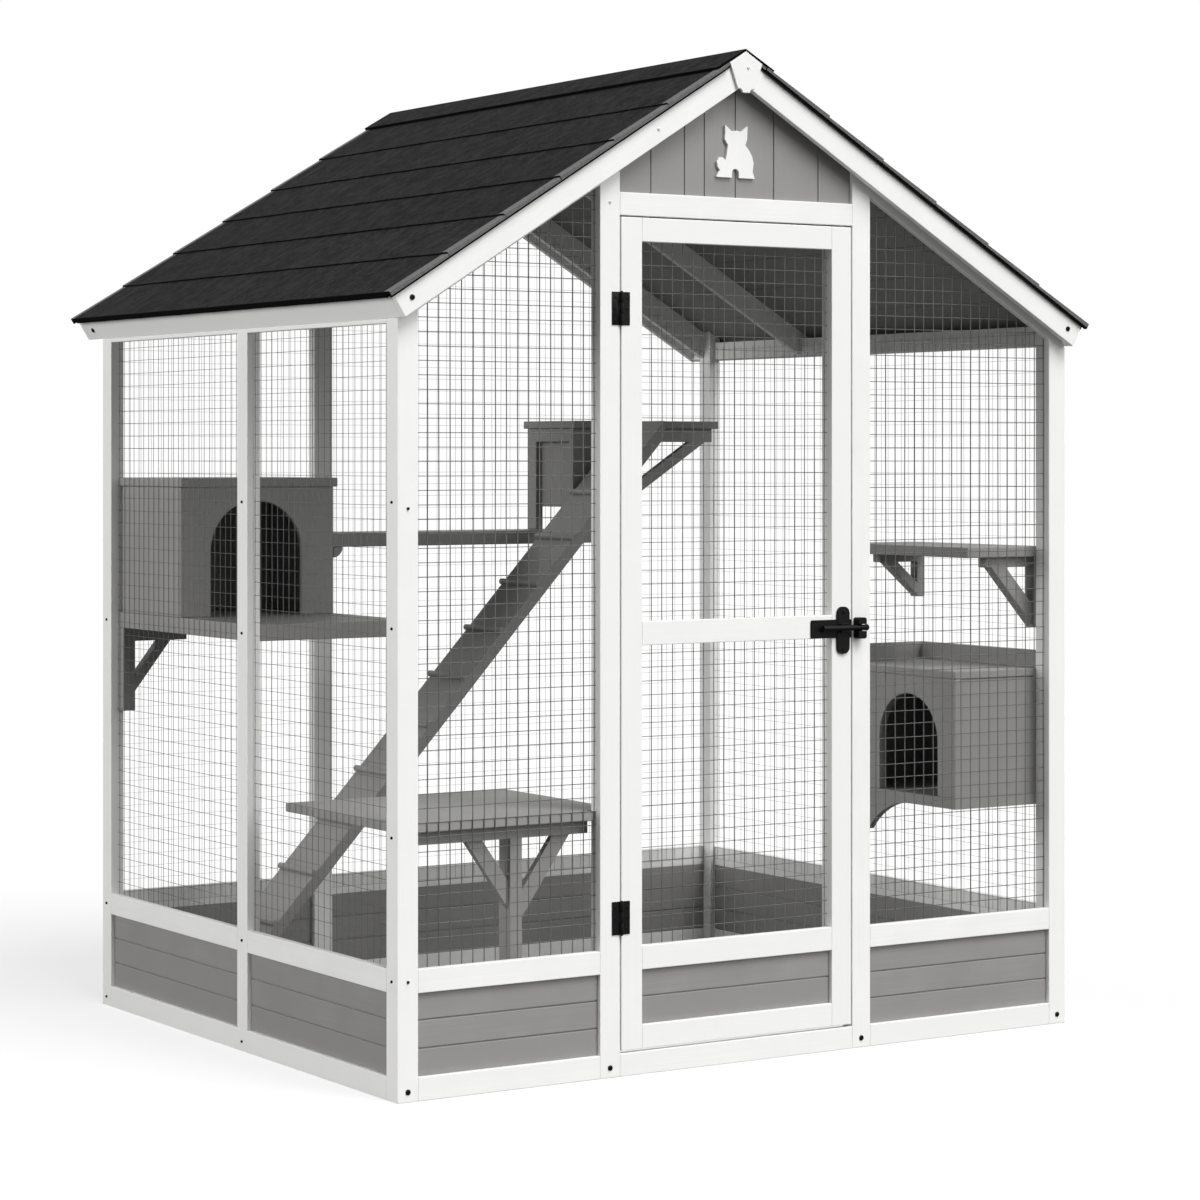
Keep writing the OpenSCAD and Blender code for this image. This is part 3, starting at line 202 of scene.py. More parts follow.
def painted_timber(name, colour, streak, grain_height):
    """Softwood under satin paint: grain runs along each board and shows through faintly."""
    tree = new_material(name).node_tree
    grain_long = 220 * MM
    grain_wide = 5 * MM
    cloud = 90 * MM
    place = add(tree, "ShaderNodeAttribute", attribute_name="plank").outputs["Vector"]
    tone = add(tree, "ShaderNodeAttribute", attribute_name="tone").outputs["Fac"]
    along = add(
        tree, "ShaderNodeMapping",
        {"Vector": place, "Scale": (1 / grain_long, 1 / grain_wide, 1 / grain_wide)},
    ).outputs["Vector"]
    grain = add(
        tree, "ShaderNodeTexNoise",
        {"Vector": along, "Scale": 1.0, "Detail": 5.0, "Roughness": 0.62, "Distortion": 0.4},
    ).outputs["Fac"]
    patches = add(
        tree, "ShaderNodeTexNoise", {"Vector": place, "Scale": 1 / cloud, "Detail": 2.0}
    ).outputs["Fac"]
    both = add(
        tree, "ShaderNodeMath", {0: grain, 1: patches}, operation="MULTIPLY"
    ).outputs["Value"]
    spread = add(
        tree, "ShaderNodeMapRange",
        {"Value": both, "From Min": 0.1, "From Max": 0.42},
    ).outputs["Result"]
    coat = shaded(colour, 1 - streak)
    for share, over in ((spread, linear(colour)), (tone, shaded(colour, 1 - 0.7 * streak))):
        coat = add(
            tree, "ShaderNodeMix", {"Factor": share, "A": coat, "B": over}, data_type="RGBA"
        ).outputs["Result"]
    gloss = add(
        tree, "ShaderNodeMapRange",
        {"Value": grain, "To Min": 0.42, "To Max": 0.58},
    ).outputs["Result"]
    relief = add(
        tree, "ShaderNodeBump",
        {"Height": grain, "Strength": grain_height, "Distance": 0.5 * MM},
    ).outputs["Normal"]
    bsdf = add(
        tree, "ShaderNodeBsdfPrincipled",
        {"Base Color": coat, "Roughness": gloss, "Normal": relief, "IOR": 1.48},
    )
    add(tree, "ShaderNodeOutputMaterial", {"Surface": bsdf.outputs["BSDF"]})


def mineral_felt(name, colour):
    """Bitumen shingle with pressed-in slate grit: dark, matt, mottled, streaked down the slope."""
    tree = new_material(name).node_tree
    grit = 6 * MM
    mottle = 26 * MM
    streak_long = 240 * MM
    streak_wide = 8 * MM
    skew = math.radians(9)
    place = add(tree, "ShaderNodeAttribute", attribute_name="plank").outputs["Vector"]
    tone, cut, worn_and_highlight = (
        add(tree, "ShaderNodeAttribute", attribute_name=label).outputs["Fac"]
        for label in ("tone", "cut", "worn_and_highlight")
    )
    grains, patches = (
        add(
            tree, "ShaderNodeTexNoise",
            {"Vector": place, "Scale": 1 / size, "Detail": 4.0, "Roughness": rough},
        ).outputs["Fac"]
        for size, rough in ((grit, 0.8), (mottle, 0.75))
    )
    skewed = add(
        tree, "ShaderNodeMapping",
        {
            "Vector": place, "Rotation": (0, 0, skew),
            "Scale": (1 / streak_long, 1 / streak_wide, 1 / streak_long),
        },
    ).outputs["Vector"]
    streaks = add(
        tree, "ShaderNodeTexNoise",
        {"Vector": skewed, "Scale": 1.0, "Detail": 4.0, "Roughness": 0.65, "Distortion": 0.4},
    ).outputs["Fac"]
    mixed, shade = (
        add(tree, "ShaderNodeMath", {0: one, 1: other}, operation="MULTIPLY").outputs["Value"]
        for one, other in ((grains, patches), (tone, 0.3))
    )
    speckle, pale, dark = (
        add(
            tree, "ShaderNodeMapRange",
            {"Value": value, "From Min": low, "From Max": high, "To Max": most},
        ).outputs["Result"]
        for value, low, high, most in (
            (mixed, 0.14, 0.36, 1.0), (streaks, 0.6, 0.72, 0.85), (streaks, 0.4, 0.3, 0.8),
        )
    )
    # Folds are painted pale: partly grit worn off, partly a painted highlight where they face the
    # lamps
    fold = add(
        tree, "ShaderNodeMix",
        {"Factor": grains, "A": shaded(colour, 4.0), "B": shaded(colour, 20.0)},
        data_type="RGBA",
    ).outputs["Result"]
    # Over the dark ground: grit, pale streaks, creases, the strip's tone, folds painted pale (worn
    # grit and a painted highlight), and faces painted dark (bare cut edges and painted shadow)
    felt = shaded(colour, 0.1)
    for share, over in (
        (speckle, shaded(colour, 2.4)), (pale, shaded(colour, 6.0)),
        (dark, shaded(colour, 0.15)), (shade, shaded(colour, 0.5)), (worn_and_highlight, fold),
        (cut, shaded(colour, 0.15)),
    ):
        felt = add(
            tree, "ShaderNodeMix", {"Factor": share, "A": felt, "B": over}, data_type="RGBA"
        ).outputs["Result"]
    relief = add(
        tree, "ShaderNodeBump", {"Height": mixed, "Strength": 0.7, "Distance": 1.2 * MM}
    ).outputs["Normal"]
    bsdf = add(
        tree, "ShaderNodeBsdfPrincipled",
        {
            "Base Color": felt, "Roughness": 0.92, "Normal": relief,
            "Specular IOR Level": 0.05,
        },
    )
    add(tree, "ShaderNodeOutputMaterial", {"Surface": bsdf.outputs["BSDF"]})


def powder_coat(name, colour):
    """Powder-coated steel: black, half-gloss, with the fine orange-peel of the baked coat."""
    tree = new_material(name).node_tree
    peel = 1.6 * MM
    place = add(tree, "ShaderNodeTexCoord").outputs["Object"]
    skin = add(
        tree, "ShaderNodeTexNoise", {"Vector": place, "Scale": 1 / peel, "Detail": 2.0}
    ).outputs["Fac"]
    gloss = add(
        tree, "ShaderNodeMapRange", {"Value": skin, "To Min": 0.36, "To Max": 0.52}
    ).outputs["Result"]
    coat = add(
        tree, "ShaderNodeMix",
        {"Factor": skin, "A": shaded(colour, 0.8), "B": shaded(colour, 1.3)},
        data_type="RGBA",
    ).outputs["Result"]
    relief = add(
        tree, "ShaderNodeBump", {"Height": skin, "Strength": 0.25, "Distance": 0.2 * MM}
    ).outputs["Normal"]
    bsdf = add(
        tree, "ShaderNodeBsdfPrincipled",
        {
            "Base Color": coat, "Roughness": gloss, "Normal": relief,
            "Specular IOR Level": 0.1,
        },
    )
    add(tree, "ShaderNodeOutputMaterial", {"Surface": bsdf.outputs["BSDF"]})


def galvanised(name, colour):
    """Hot-dipped zinc on wire: dull grey with cloudy lighter patches."""
    tree = new_material(name).node_tree
    spangle = 14 * MM
    place = add(tree, "ShaderNodeTexCoord").outputs["Object"]
    clouds = add(
        tree, "ShaderNodeTexNoise", {"Vector": place, "Scale": 1 / spangle, "Detail": 3.0}
    ).outputs["Fac"]
    zinc = add(
        tree, "ShaderNodeMix",
        {"Factor": clouds, "A": shaded(colour, 0.7), "B": shaded(colour, 1.35)},
        data_type="RGBA",
    ).outputs["Result"]
    bsdf = add(
        tree, "ShaderNodeBsdfPrincipled",
        {"Base Color": zinc, "Metallic": 0.35, "Roughness": 0.5},
    )
    add(tree, "ShaderNodeOutputMaterial", {"Surface": bsdf.outputs["BSDF"]})


def finish_of(context, finish):
    """The material of a finish; the first call makes them all."""
    look = context.scene.enclosure_finishes
    if MATERIALS["white"] not in bpy.data.materials:
        painted_timber(MATERIALS["white"], look.white_paint, 0.07, 0.14)
        painted_timber(MATERIALS["grey"], look.grey_paint, 0.16, 0.2)
        mineral_felt(MATERIALS["felt"], look.felt)
        powder_coat(MATERIALS["steel"], look.steel)
        galvanised(MATERIALS["wire"], look.zinc)
    return bpy.data.materials[MATERIALS[finish]]


def link(name, data):
    """A new object in the scene."""
    piece = bpy.data.objects.new(name, data)
    bpy.context.scene.collection.objects.link(piece)
    return piece


def place_piece(piece, body, nodes=()):
    """Puts a finished piece on its body and hides the nodes that it stands for."""
    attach(piece, body)
    if nodes:
        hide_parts(*nodes)


def body_of_node(node):
    """The body that a node rides on."""
    return frame["nodes"][node]["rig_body"]


def merged(node, joined=True):
    """A clean bmesh of a node: doubles merged and, where joined, flat faces made one."""
    same_point = 0.01 * MM
    flat = math.radians(0.6)
    shape = bmesh.new()
    shape.from_mesh(frame["nodes"][node].data)
    bmesh.ops.remove_doubles(shape, verts=shape.verts, dist=same_point)
    if joined:
        bmesh.ops.dissolve_limit(
            shape, angle_limit=flat, verts=shape.verts, edges=shape.edges
        )
    return shape


def positions(verts):
    """Where vertices are, as an array."""
    return np.array([v.co[:] for v in verts])


def islands(shape):
    """The separate solids in a bmesh, as lists of vertices."""
    left = set(shape.verts)
    groups = []
    for start in shape.verts:
        if start not in left:
            continue
        group, queue = [], [start]
        left.discard(start)
        while queue:
            vert = queue.pop()
            group.append(vert)
            for edge in vert.link_edges:
                other = edge.other_vert(vert)
                if other in left:
                    left.discard(other)
                    queue.append(other)
        groups.append(group)
    return groups


def island_boxes(node):
    """Lowest and highest corners of each separate solid in a node."""
    shape = merged(node)
    boxes = []
    for group in islands(shape):
        points = positions(group)
        boxes.append((Vector(points.min(0)), Vector(points.max(0))))
    shape.free()
    return sorted(boxes, key=lambda b: tuple(round(c, 4) for c in b[0]))


def main_axes(points):
    """Axes of a board, longest first, as rows."""
    spread = points - points.mean(0)
    values, vectors = np.linalg.eigh(spread.T @ spread)
    return vectors[:, np.argsort(-values)].T


def mark_boards(shape, dice):
    """Writes each board's own coordinates (along, across, through) and a tone."""
    plank = shape.verts.layers.float_vector.new("plank")
    tone = shape.verts.layers.float.new("tone")
    for group in islands(shape):
        points = positions(group)
        axes = main_axes(points)
        offset = Vector((dice.uniform(0, 9), dice.uniform(0, 9), dice.uniform(0, 9)))
        shade = dice.random()
        for vert, local in zip(group, (points - points.mean(0)) @ axes.T):
            vert[plank] = Vector(local) + offset
            vert[tone] = shade


def to_mesh(shape, name):
    """The mesh of a bmesh, which is freed."""
    mesh = bpy.data.meshes.new(name)
    shape.to_mesh(mesh)
    shape.free()
    return mesh


def plain(context, name, shape, body, finish, node):
    """A piece that is a bmesh as it stands, in place of a node."""
    piece = link(name, to_mesh(shape, name))
    piece.data.materials.append(finish_of(context, finish))
    place_piece(piece, body, (node,))


def rounded(name, shape, radius, material):
    """An object from a bmesh with its edges rounded by a bevel, which is applied."""
    edge_angle = math.radians(25)
    piece = link(name, to_mesh(shape, name))
    bevel = piece.modifiers.new("rounding", "BEVEL")
    bevel.width = radius
    bevel.segments = 2
    bevel.limit_method = "ANGLE"
    bevel.angle_limit = edge_angle
    bevel.use_clamp_overlap = True
    return settled(piece, material)


def settled(piece, material=None):
    """Replaces a piece's mesh by what its modifiers make, and removes them."""
    graph = bpy.context.evaluated_depsgraph_get()
    mesh = bpy.data.meshes.new_from_object(piece.evaluated_get(graph), depsgraph=graph)
    piece.modifiers.clear()
    piece.data = mesh
    if material is not None:
        mesh.materials.clear()
        mesh.materials.append(material)
    return piece


def box_into(shape, low, high):
    """Adds a block to a bmesh."""
    size = Vector(high) - Vector(low)
    centre = (Vector(high) + Vector(low)) / 2
    matrix = Matrix.Translation(centre) @ Matrix.Diagonal((*size, 1))
    bmesh.ops.create_cube(shape, size=1, matrix=matrix)


def roof_tree():
    """A search tree of the roof deck, to find the height of its underside."""
    shape = bmesh.new()
    shape.from_mesh(frame["nodes"]["roof_decks"].data)
    tree = BVHTree.FromBMesh(shape)
    shape.free()
    return tree


def geometry_tree(name, sockets):
    """A Geometry Nodes tree with named inputs, and its input node."""
    tree = bpy.data.node_groups.new(name, "GeometryNodeTree")
    shape = ("Geometry", "NodeSocketGeometry")
    tree.interface.new_socket(name=shape[0], in_out="OUTPUT", socket_type=shape[1])
    for label, kind in (shape, *sockets):
        tree.interface.new_socket(name=label, in_out="INPUT", socket_type=kind)
    return tree, add(tree, "NodeGroupInput")


def pass_on(tree, given, shape):
    """Makes a tree's shape real, gives it the finish and passes it to the output."""
    real = add(tree, "GeometryNodeRealizeInstances", {"Geometry": shape})
    done = add(
        tree, "GeometryNodeSetMaterial",
        {"Geometry": real.outputs["Geometry"], "Material": given.outputs["Finish"]},
    )
    add(tree, "NodeGroupOutput", {"Geometry": done.outputs["Geometry"]})


def with_tree(piece, tree, values):
    """Runs a Geometry Nodes tree on a piece and keeps the result as a plain mesh."""
    modifier = piece.modifiers.new(tree.name, "NODES")
    modifier.node_group = tree
    for item in tree.interface.items_tree:
        if item.item_type == "SOCKET" and item.in_out == "INPUT" and item.name in values:
            modifier[item.identifier] = values[item.name]
    return settled(piece)


def wire_tree():
    """Turns each run of edges into a round wire."""
    tree, given = geometry_tree(
        "welded_wires",
        [
            ("Wire radius", "NodeSocketFloat"), ("Sides", "NodeSocketInt"),
            ("Finish", "NodeSocketMaterial"),
        ],
    )
    runs = add(tree, "GeometryNodeMeshToCurve", {"Mesh": given.outputs["Geometry"]})
    ring = add(
        tree, "GeometryNodeCurvePrimitiveCircle",
        {"Resolution": given.outputs["Sides"], "Radius": given.outputs["Wire radius"]},
    )
    wires = add(
        tree, "GeometryNodeCurveToMesh",
        {"Curve": runs.outputs["Curve"], "Profile Curve": ring.outputs["Curve"], "Fill Caps": True},
    )
    pass_on(tree, given, wires.outputs["Mesh"])
    return tree


def copies_tree():
    """Sets a unit piece on every point, turned and sized by the point's own values."""
    tree, given = geometry_tree(
        "set_on_points",
        [("Unit", "NodeSocketObject"), ("Finish", "NodeSocketMaterial")],
    )
    unit = add(tree, "GeometryNodeObjectInfo", {"Object": given.outputs["Unit"]})
    turn, size = (
        add(tree, "GeometryNodeInputNamedAttribute", {"Name": label}, data_type="FLOAT_VECTOR")
        for label in ("turn", "size")
    )
    angle = add(tree, "FunctionNodeEulerToRotation", {"Euler": turn.outputs["Attribute"]})
    placed = add(
        tree, "GeometryNodeInstanceOnPoints",
        {
            "Points": given.outputs["Geometry"], "Instance": unit.outputs["Geometry"],
            "Rotation": angle.outputs["Rotation"], "Scale": size.outputs["Attribute"],
        },
    )
    pass_on(tree, given, placed.outputs["Instances"])
    return tree


def set_copies(name, unit, places, material):
    """One piece made of copies of a unit: places are (point, turn, size, tone)."""
    mesh = bpy.data.meshes.new(name)
    mesh.from_pydata([tuple(p[0]) for p in places], [], [])
    for label, kind, field, column in (
        ("turn", "FLOAT_VECTOR", "vector", 1), ("size", "FLOAT_VECTOR", "vector", 2),
        ("tone", "FLOAT", "value", 3),
    ):
        layer = mesh.attributes.new(label, kind, "POINT")
        for entry, place in zip(layer.data, places):
            setattr(entry, field, place[column])
    tree = bpy.data.node_groups.get("set_on_points") or copies_tree()
    piece = with_tree(link(name, mesh), tree, {"Unit": unit, "Finish": material})
    bpy.data.objects.remove(unit)
    return piece


def dressed(context, node, finish, radius, dice):
    """A node's shape with rounded edges and board coordinates, standing for the node."""
    shape = merged(node)
    mark_boards(shape, dice)
    piece = rounded(node + "_finished", shape, radius, finish_of(context, finish))
    place_piece(piece, body_of_node(node), (node,))


class ENCLOSURE_OT_white_timber(bpy.types.Operator):
    """Rounds and paints the white posts, rails, roof boards and door frame"""

    bl_idname = "enclosure.white_timber"
    bl_label = "White timber"

    def execute(self, context):
        dice = random.Random(11)
        for node in WHITE_TIMBER:
            dressed(context, node, "white", context.scene.enclosure_sizes.edge_round, dice)
        block = bpy.data.objects["ridge_block_finished"].data
        top = max(v.co.z for v in block.vertices)
        for vert in block.vertices:
            if vert.co.z > top - BLOCK_HEAD:
                vert.co.z += BLOCK_LIFT
        return {"FINISHED"}


class ENCLOSURE_OT_grey_fittings(bpy.types.Operator):
    """Rounds and paints the table, ramp, shelves, perch and shelter boxes"""

    bl_idname = "enclosure.grey_fittings"
    bl_label = "Grey fittings"

    def execute(self, context):
        dice = random.Random(12)
        for node in GREY_FITTINGS:
            dressed(context, node, "grey", context.scene.enclosure_sizes.seam_round, dice)
        return {"FINISHED"}


class ENCLOSURE_OT_boarding(bpy.types.Operator):
    """Paints the boarding and closes its grooves with tongues"""

    bl_idname = "enclosure.boarding"
    bl_label = "Boarding"

    def execute(self, context):
        dice = random.Random(13)
        tree = roof_tree()
        for node in BOARDING:
            shape = merged(node)
            boxes = island_boxes(node)
            for low, high in self.tongues(boxes, tree):
                box_into(shape, low, high)
            mark_boards(shape, dice)
            radius = context.scene.enclosure_sizes.edge_round
            piece = rounded(node + "_finished", shape, radius, finish_of(context, "grey"))
            place_piece(piece, body_of_node(node), (node,))
        return {"FINISHED"}

    def tongues(self, boxes, tree):
        """Blocks that close the groove between neighbouring boards."""
        widest = 4 * MM
        level = 1 * MM
        found = []
        for low_a, high_a in boxes:
            for low_b, high_b in boxes:
                for axis in (0, 2):
                    other = 2 - axis
                    gap = low_b[axis] - high_a[axis]
                    same = abs(low_a[other] - low_b[other]) < level
                    in_line = abs(low_a.y - low_b.y) < level and abs(low_a.x - low_b.x) < level
                    if not 0 < gap < widest or not (same if axis == 0 else in_line):
                        continue
                    found.append(self.tongue(low_a, high_a, low_b, high_b, axis, tree))
        return found

    def tongue(self, low_a, high_a, low_b, high_b, axis, tree):
        """One block between two boards, in the middle of their thickness."""
        into_board = 0.2 * MM
        below_roof = 3 * MM
        low, high = Vector(low_a), Vector(high_a)
        through = 0 if high.x - low.x < high.y - low.y else 1
        third = (high[through] - low[through]) / 3
        low[through] += third
        high[through] -= third
        low[axis] = high_a[axis] - into_board
        high[axis] = low_b[axis] + into_board
        if axis == 0:
            hit = tree.ray_cast(Vector((high_a.x, low.y, low.z)), Vector((0, 0, 1)))[0]
            high.z = min(max(high_a.z, high_b.z), hit.z - below_roof)
        return low, high


def weld_unit(name):
    """The nugget of one weld: a small eight-sided bead one metre in radius."""
    shape = bmesh.new()
    bmesh.ops.create_uvsphere(shape, u_segments=4, v_segments=2, radius=1.0)
    return link(name, to_mesh(shape, name))


class ENCLOSURE_OT_wire_panels(bpy.types.Operator):
    """Fills the walls and the door with welded wire mesh"""

    bl_idname = "enclosure.wire_panels"
    bl_label = "Wire panels"

    def execute(self, context):
        self.sizes = sizes = context.scene.enclosure_sizes
        self.dice = random.Random(14)
        self.roof = roof_tree()
        tree = wire_tree()
        zinc = finish_of(context, "wire")
        for node, thick in (
            ("mesh_front", sizes.wire_diameter), ("door_mesh", sizes.door_wire),
            ("mesh_left", sizes.side_wire), ("mesh_right", sizes.fine_wire),
            ("mesh_rear", sizes.fine_wire),
        ):
            radius = thick / 2
            uprights, levels, welds = [], [], []
            for low, high in island_boxes(node):
                self.fill_panel(
                    low, high, node in SLOPING_TOPS, radius, uprights, levels, welds
                )
            panel = bmesh.new()
            for runs, share in ((uprights, 1.0), (levels, sizes.level_share)):
                part = with_tree(
                    link("wire_run", self.centre_lines(runs)), tree,
                    {"Wire radius": radius * share, "Sides": 6, "Finish": zinc},
                )
                panel.from_mesh(part.data)
                bpy.data.objects.remove(part)
            plain(context, node + "_wires", panel, body_of_node(node), "wire", node)
            knots = set_copies(node + "_welds", weld_unit("weld"), welds, zinc)
            place_piece(knots, body_of_node(node))
        return {"FINISHED"}

    def centre_lines(self, runs):
        """A mesh of bare edges along the wires."""
        verts, edges = [], []
        for run in runs:
            first = len(verts)
            verts += run
            edges += [(first + i, first + i + 1) for i in range(len(run) - 1)]
        mesh = bpy.data.meshes.new("wire_run")
        mesh.from_pydata(verts, edges, [])
        return mesh

    def top_at(self, across, low, high, sloping):
        """Height of a panel's top at a place across it."""
        if not sloping:
            return high.z
        drop = 40 * MM
        hit = self.roof.ray_cast(Vector((across, low.y, low.z)), Vector((0, 0, 1)))[0]
        return min(high.z, hit.z - drop)

    def fill_panel(self, low, high, sloping, radius, uprights, level_wires, welds):
        """The wires of one panel, uprights outside and level wires inside, and their welds."""
        samples = 80
        smallest_weld, largest_weld = 1.1, 2.1
        axis = 1 if high.x - low.x < high.y - low.y else 0
        through = 1 - axis
        middle = (low[through] + high[through]) / 2
        outward = 1 if middle > 0 else -1
        shift = outward * radius * 0.5
        width = high[axis] - low[axis]
        count = int(width / self.sizes.wire_pitch)
        start = low[axis] + (width - count * self.sizes.wire_pitch) / 2
        rows = int((high.z - low.z) / self.sizes.row_pitch)
        levels = [low.z + radius + j * self.sizes.row_pitch for j in range(rows + 1)]
        for i in range(count + 1):
            across = start + i * self.sizes.wire_pitch
            across = min(max(across, low[axis] + radius), high[axis] - radius)
            top = self.top_at(across, low, high, sloping)
            uprights.append(self.wire([(across, low.z), (across, top)], axis, middle + shift))
            for level in levels:
                if level < top:
                    place = (across, middle, level) if axis == 0 else (middle, across, level)
                    size = radius * self.dice.uniform(smallest_weld, largest_weld)
                    welds.append((Vector(place), (0, 0, 0), (size, size, size), MID_TONE))
        places = [low[axis] + width * k / samples for k in range(samples + 1)]
        tops = [self.top_at(across, low, high, sloping) for across in places]
        for level in levels:
            reach = [across for across, top in zip(places, tops) if top >= level]
            if len(reach) > 1:
                ends = [(reach[0], level), (reach[-1], level)]
                level_wires.append(self.wire(ends, axis, middle - shift))

    def wire(self, ends, axis, depth):
        """Points of one wire between two ends, a little off straight."""
        straight = 180 * MM
        (a0, z0), (a1, z1) = ends
        steps = max(2, round(max(abs(a1 - a0), abs(z1 - z0)) / straight))
        points = []
        for k in range(steps + 1):
            t = k / steps
            stray = self.sizes.wire_wander if 0 < k < steps else 0
            across = a0 + (a1 - a0) * t
            level = z0 + (z1 - z0) * t
            if a0 == a1:
                across += self.dice.uniform(-stray, stray)
            else:
                level += self.dice.uniform(-stray, stray)
            points.append((across, depth, level) if axis == 0 else (depth, across, level))
        return points


class RoofSide:
    """Coordinates on one side of the roof: down the slope, along the roof, off the deck"""

    def __init__(self, side):
        points = positions(frame["nodes"]["roof_decks"].data.vertices)
        at_ridge = np.abs(points[:, 2] - points[:, 2].max()) < 1 * MM
        self.ridge_x = points[at_ridge, 0].mean()
        mine = points[side * (points[:, 0] - self.ridge_x) > 0]
        eave = mine[np.argmax(side * mine[:, 0])]
        top = mine[np.argmax(mine[:, 2])]
        foot = mine[np.abs(mine[:, 2] - eave[2]) < 0.5 * MM][0]
        run = abs(foot[0] - top[0])
        self.pitch = math.atan2(top[2] - foot[2], run)
        above = abs(top[0] - self.ridge_x) * math.tan(self.pitch)
        self.ridge_z = top[2] + above - DECK_T / math.cos(self.pitch)
        self.side = side
        across = abs(foot[0] - self.ridge_x) - DECK_T * math.sin(self.pitch)
        self.length = across / math.cos(self.pitch)

    def point(self, down, along, off):
        """A point in the part's frame."""
        return Vector((
            self.ridge_x + self.side * (down * math.cos(self.pitch) + off * math.sin(self.pitch)),
            along,
            self.ridge_z - down * math.sin(self.pitch) + off * math.cos(self.pitch),
        ))


def skin(shape, rings):
    """Joins matching rings of vertices by faces, listed with their place on the ring."""
    made = []
    for a, b in zip(rings, rings[1:]):
        for k in range(len(a)):
            after = (k + 1) % len(a)
            made.append((k, shape.faces.new((a[k], a[after], b[after], b[k]))))
    return made


def felt_ring(shape, ring, tone):
    """Vertices of one tone at a ring of points, each with its own place on the felt."""
    plank = shape.verts.layers.float_vector["plank"]
    shade = shape.verts.layers.float["tone"]
    verts = []
    for point, on_felt in ring:
        vert = shape.verts.new(point)
        vert[plank] = on_felt
        vert[shade] = tone
        verts.append(vert)
    return verts


def sweep(shape, roof, sections, cut_rows, tone, worn_and_highlight_rows=()):
    """A closed bar through matching rings of (down, along, off) points on one roof side.

    Faces that start at the rings' points in the first list of rows are painted dark: bare cut edges
    of the felt, and painted shadow under edges that stand off. Those in the second list are folds
    painted pale, partly grit worn off and partly a painted highlight.
    """
    cut = shape.faces.layers.float["cut"]
    worn_and_highlight = shape.faces.layers.float["worn_and_highlight"]
    rings = []
    for section in sections:
        ring = [
            (roof.point(down, along, off), (down * roof.side, along, off))
            for down, along, off in section
        ]
        rings.append(felt_ring(shape, ring, tone))
    for k, face in skin(shape, rings):
        face[cut] = 1.0 if k in cut_rows else 0.0
        face[worn_and_highlight] = 1.0 if k in worn_and_highlight_rows else 0.0
    for ring in (rings[0], rings[-1]):
        shape.faces.new(ring)[cut] = 1.0


def felt_shape():
    """An empty bmesh with the layers that the felt reads."""
    shape = bmesh.new()
    shape.verts.layers.float_vector.new("plank")
    shape.verts.layers.float.new("tone")
    shape.faces.layers.float.new("cut")
    shape.faces.layers.float.new("worn_and_highlight")
    return shape


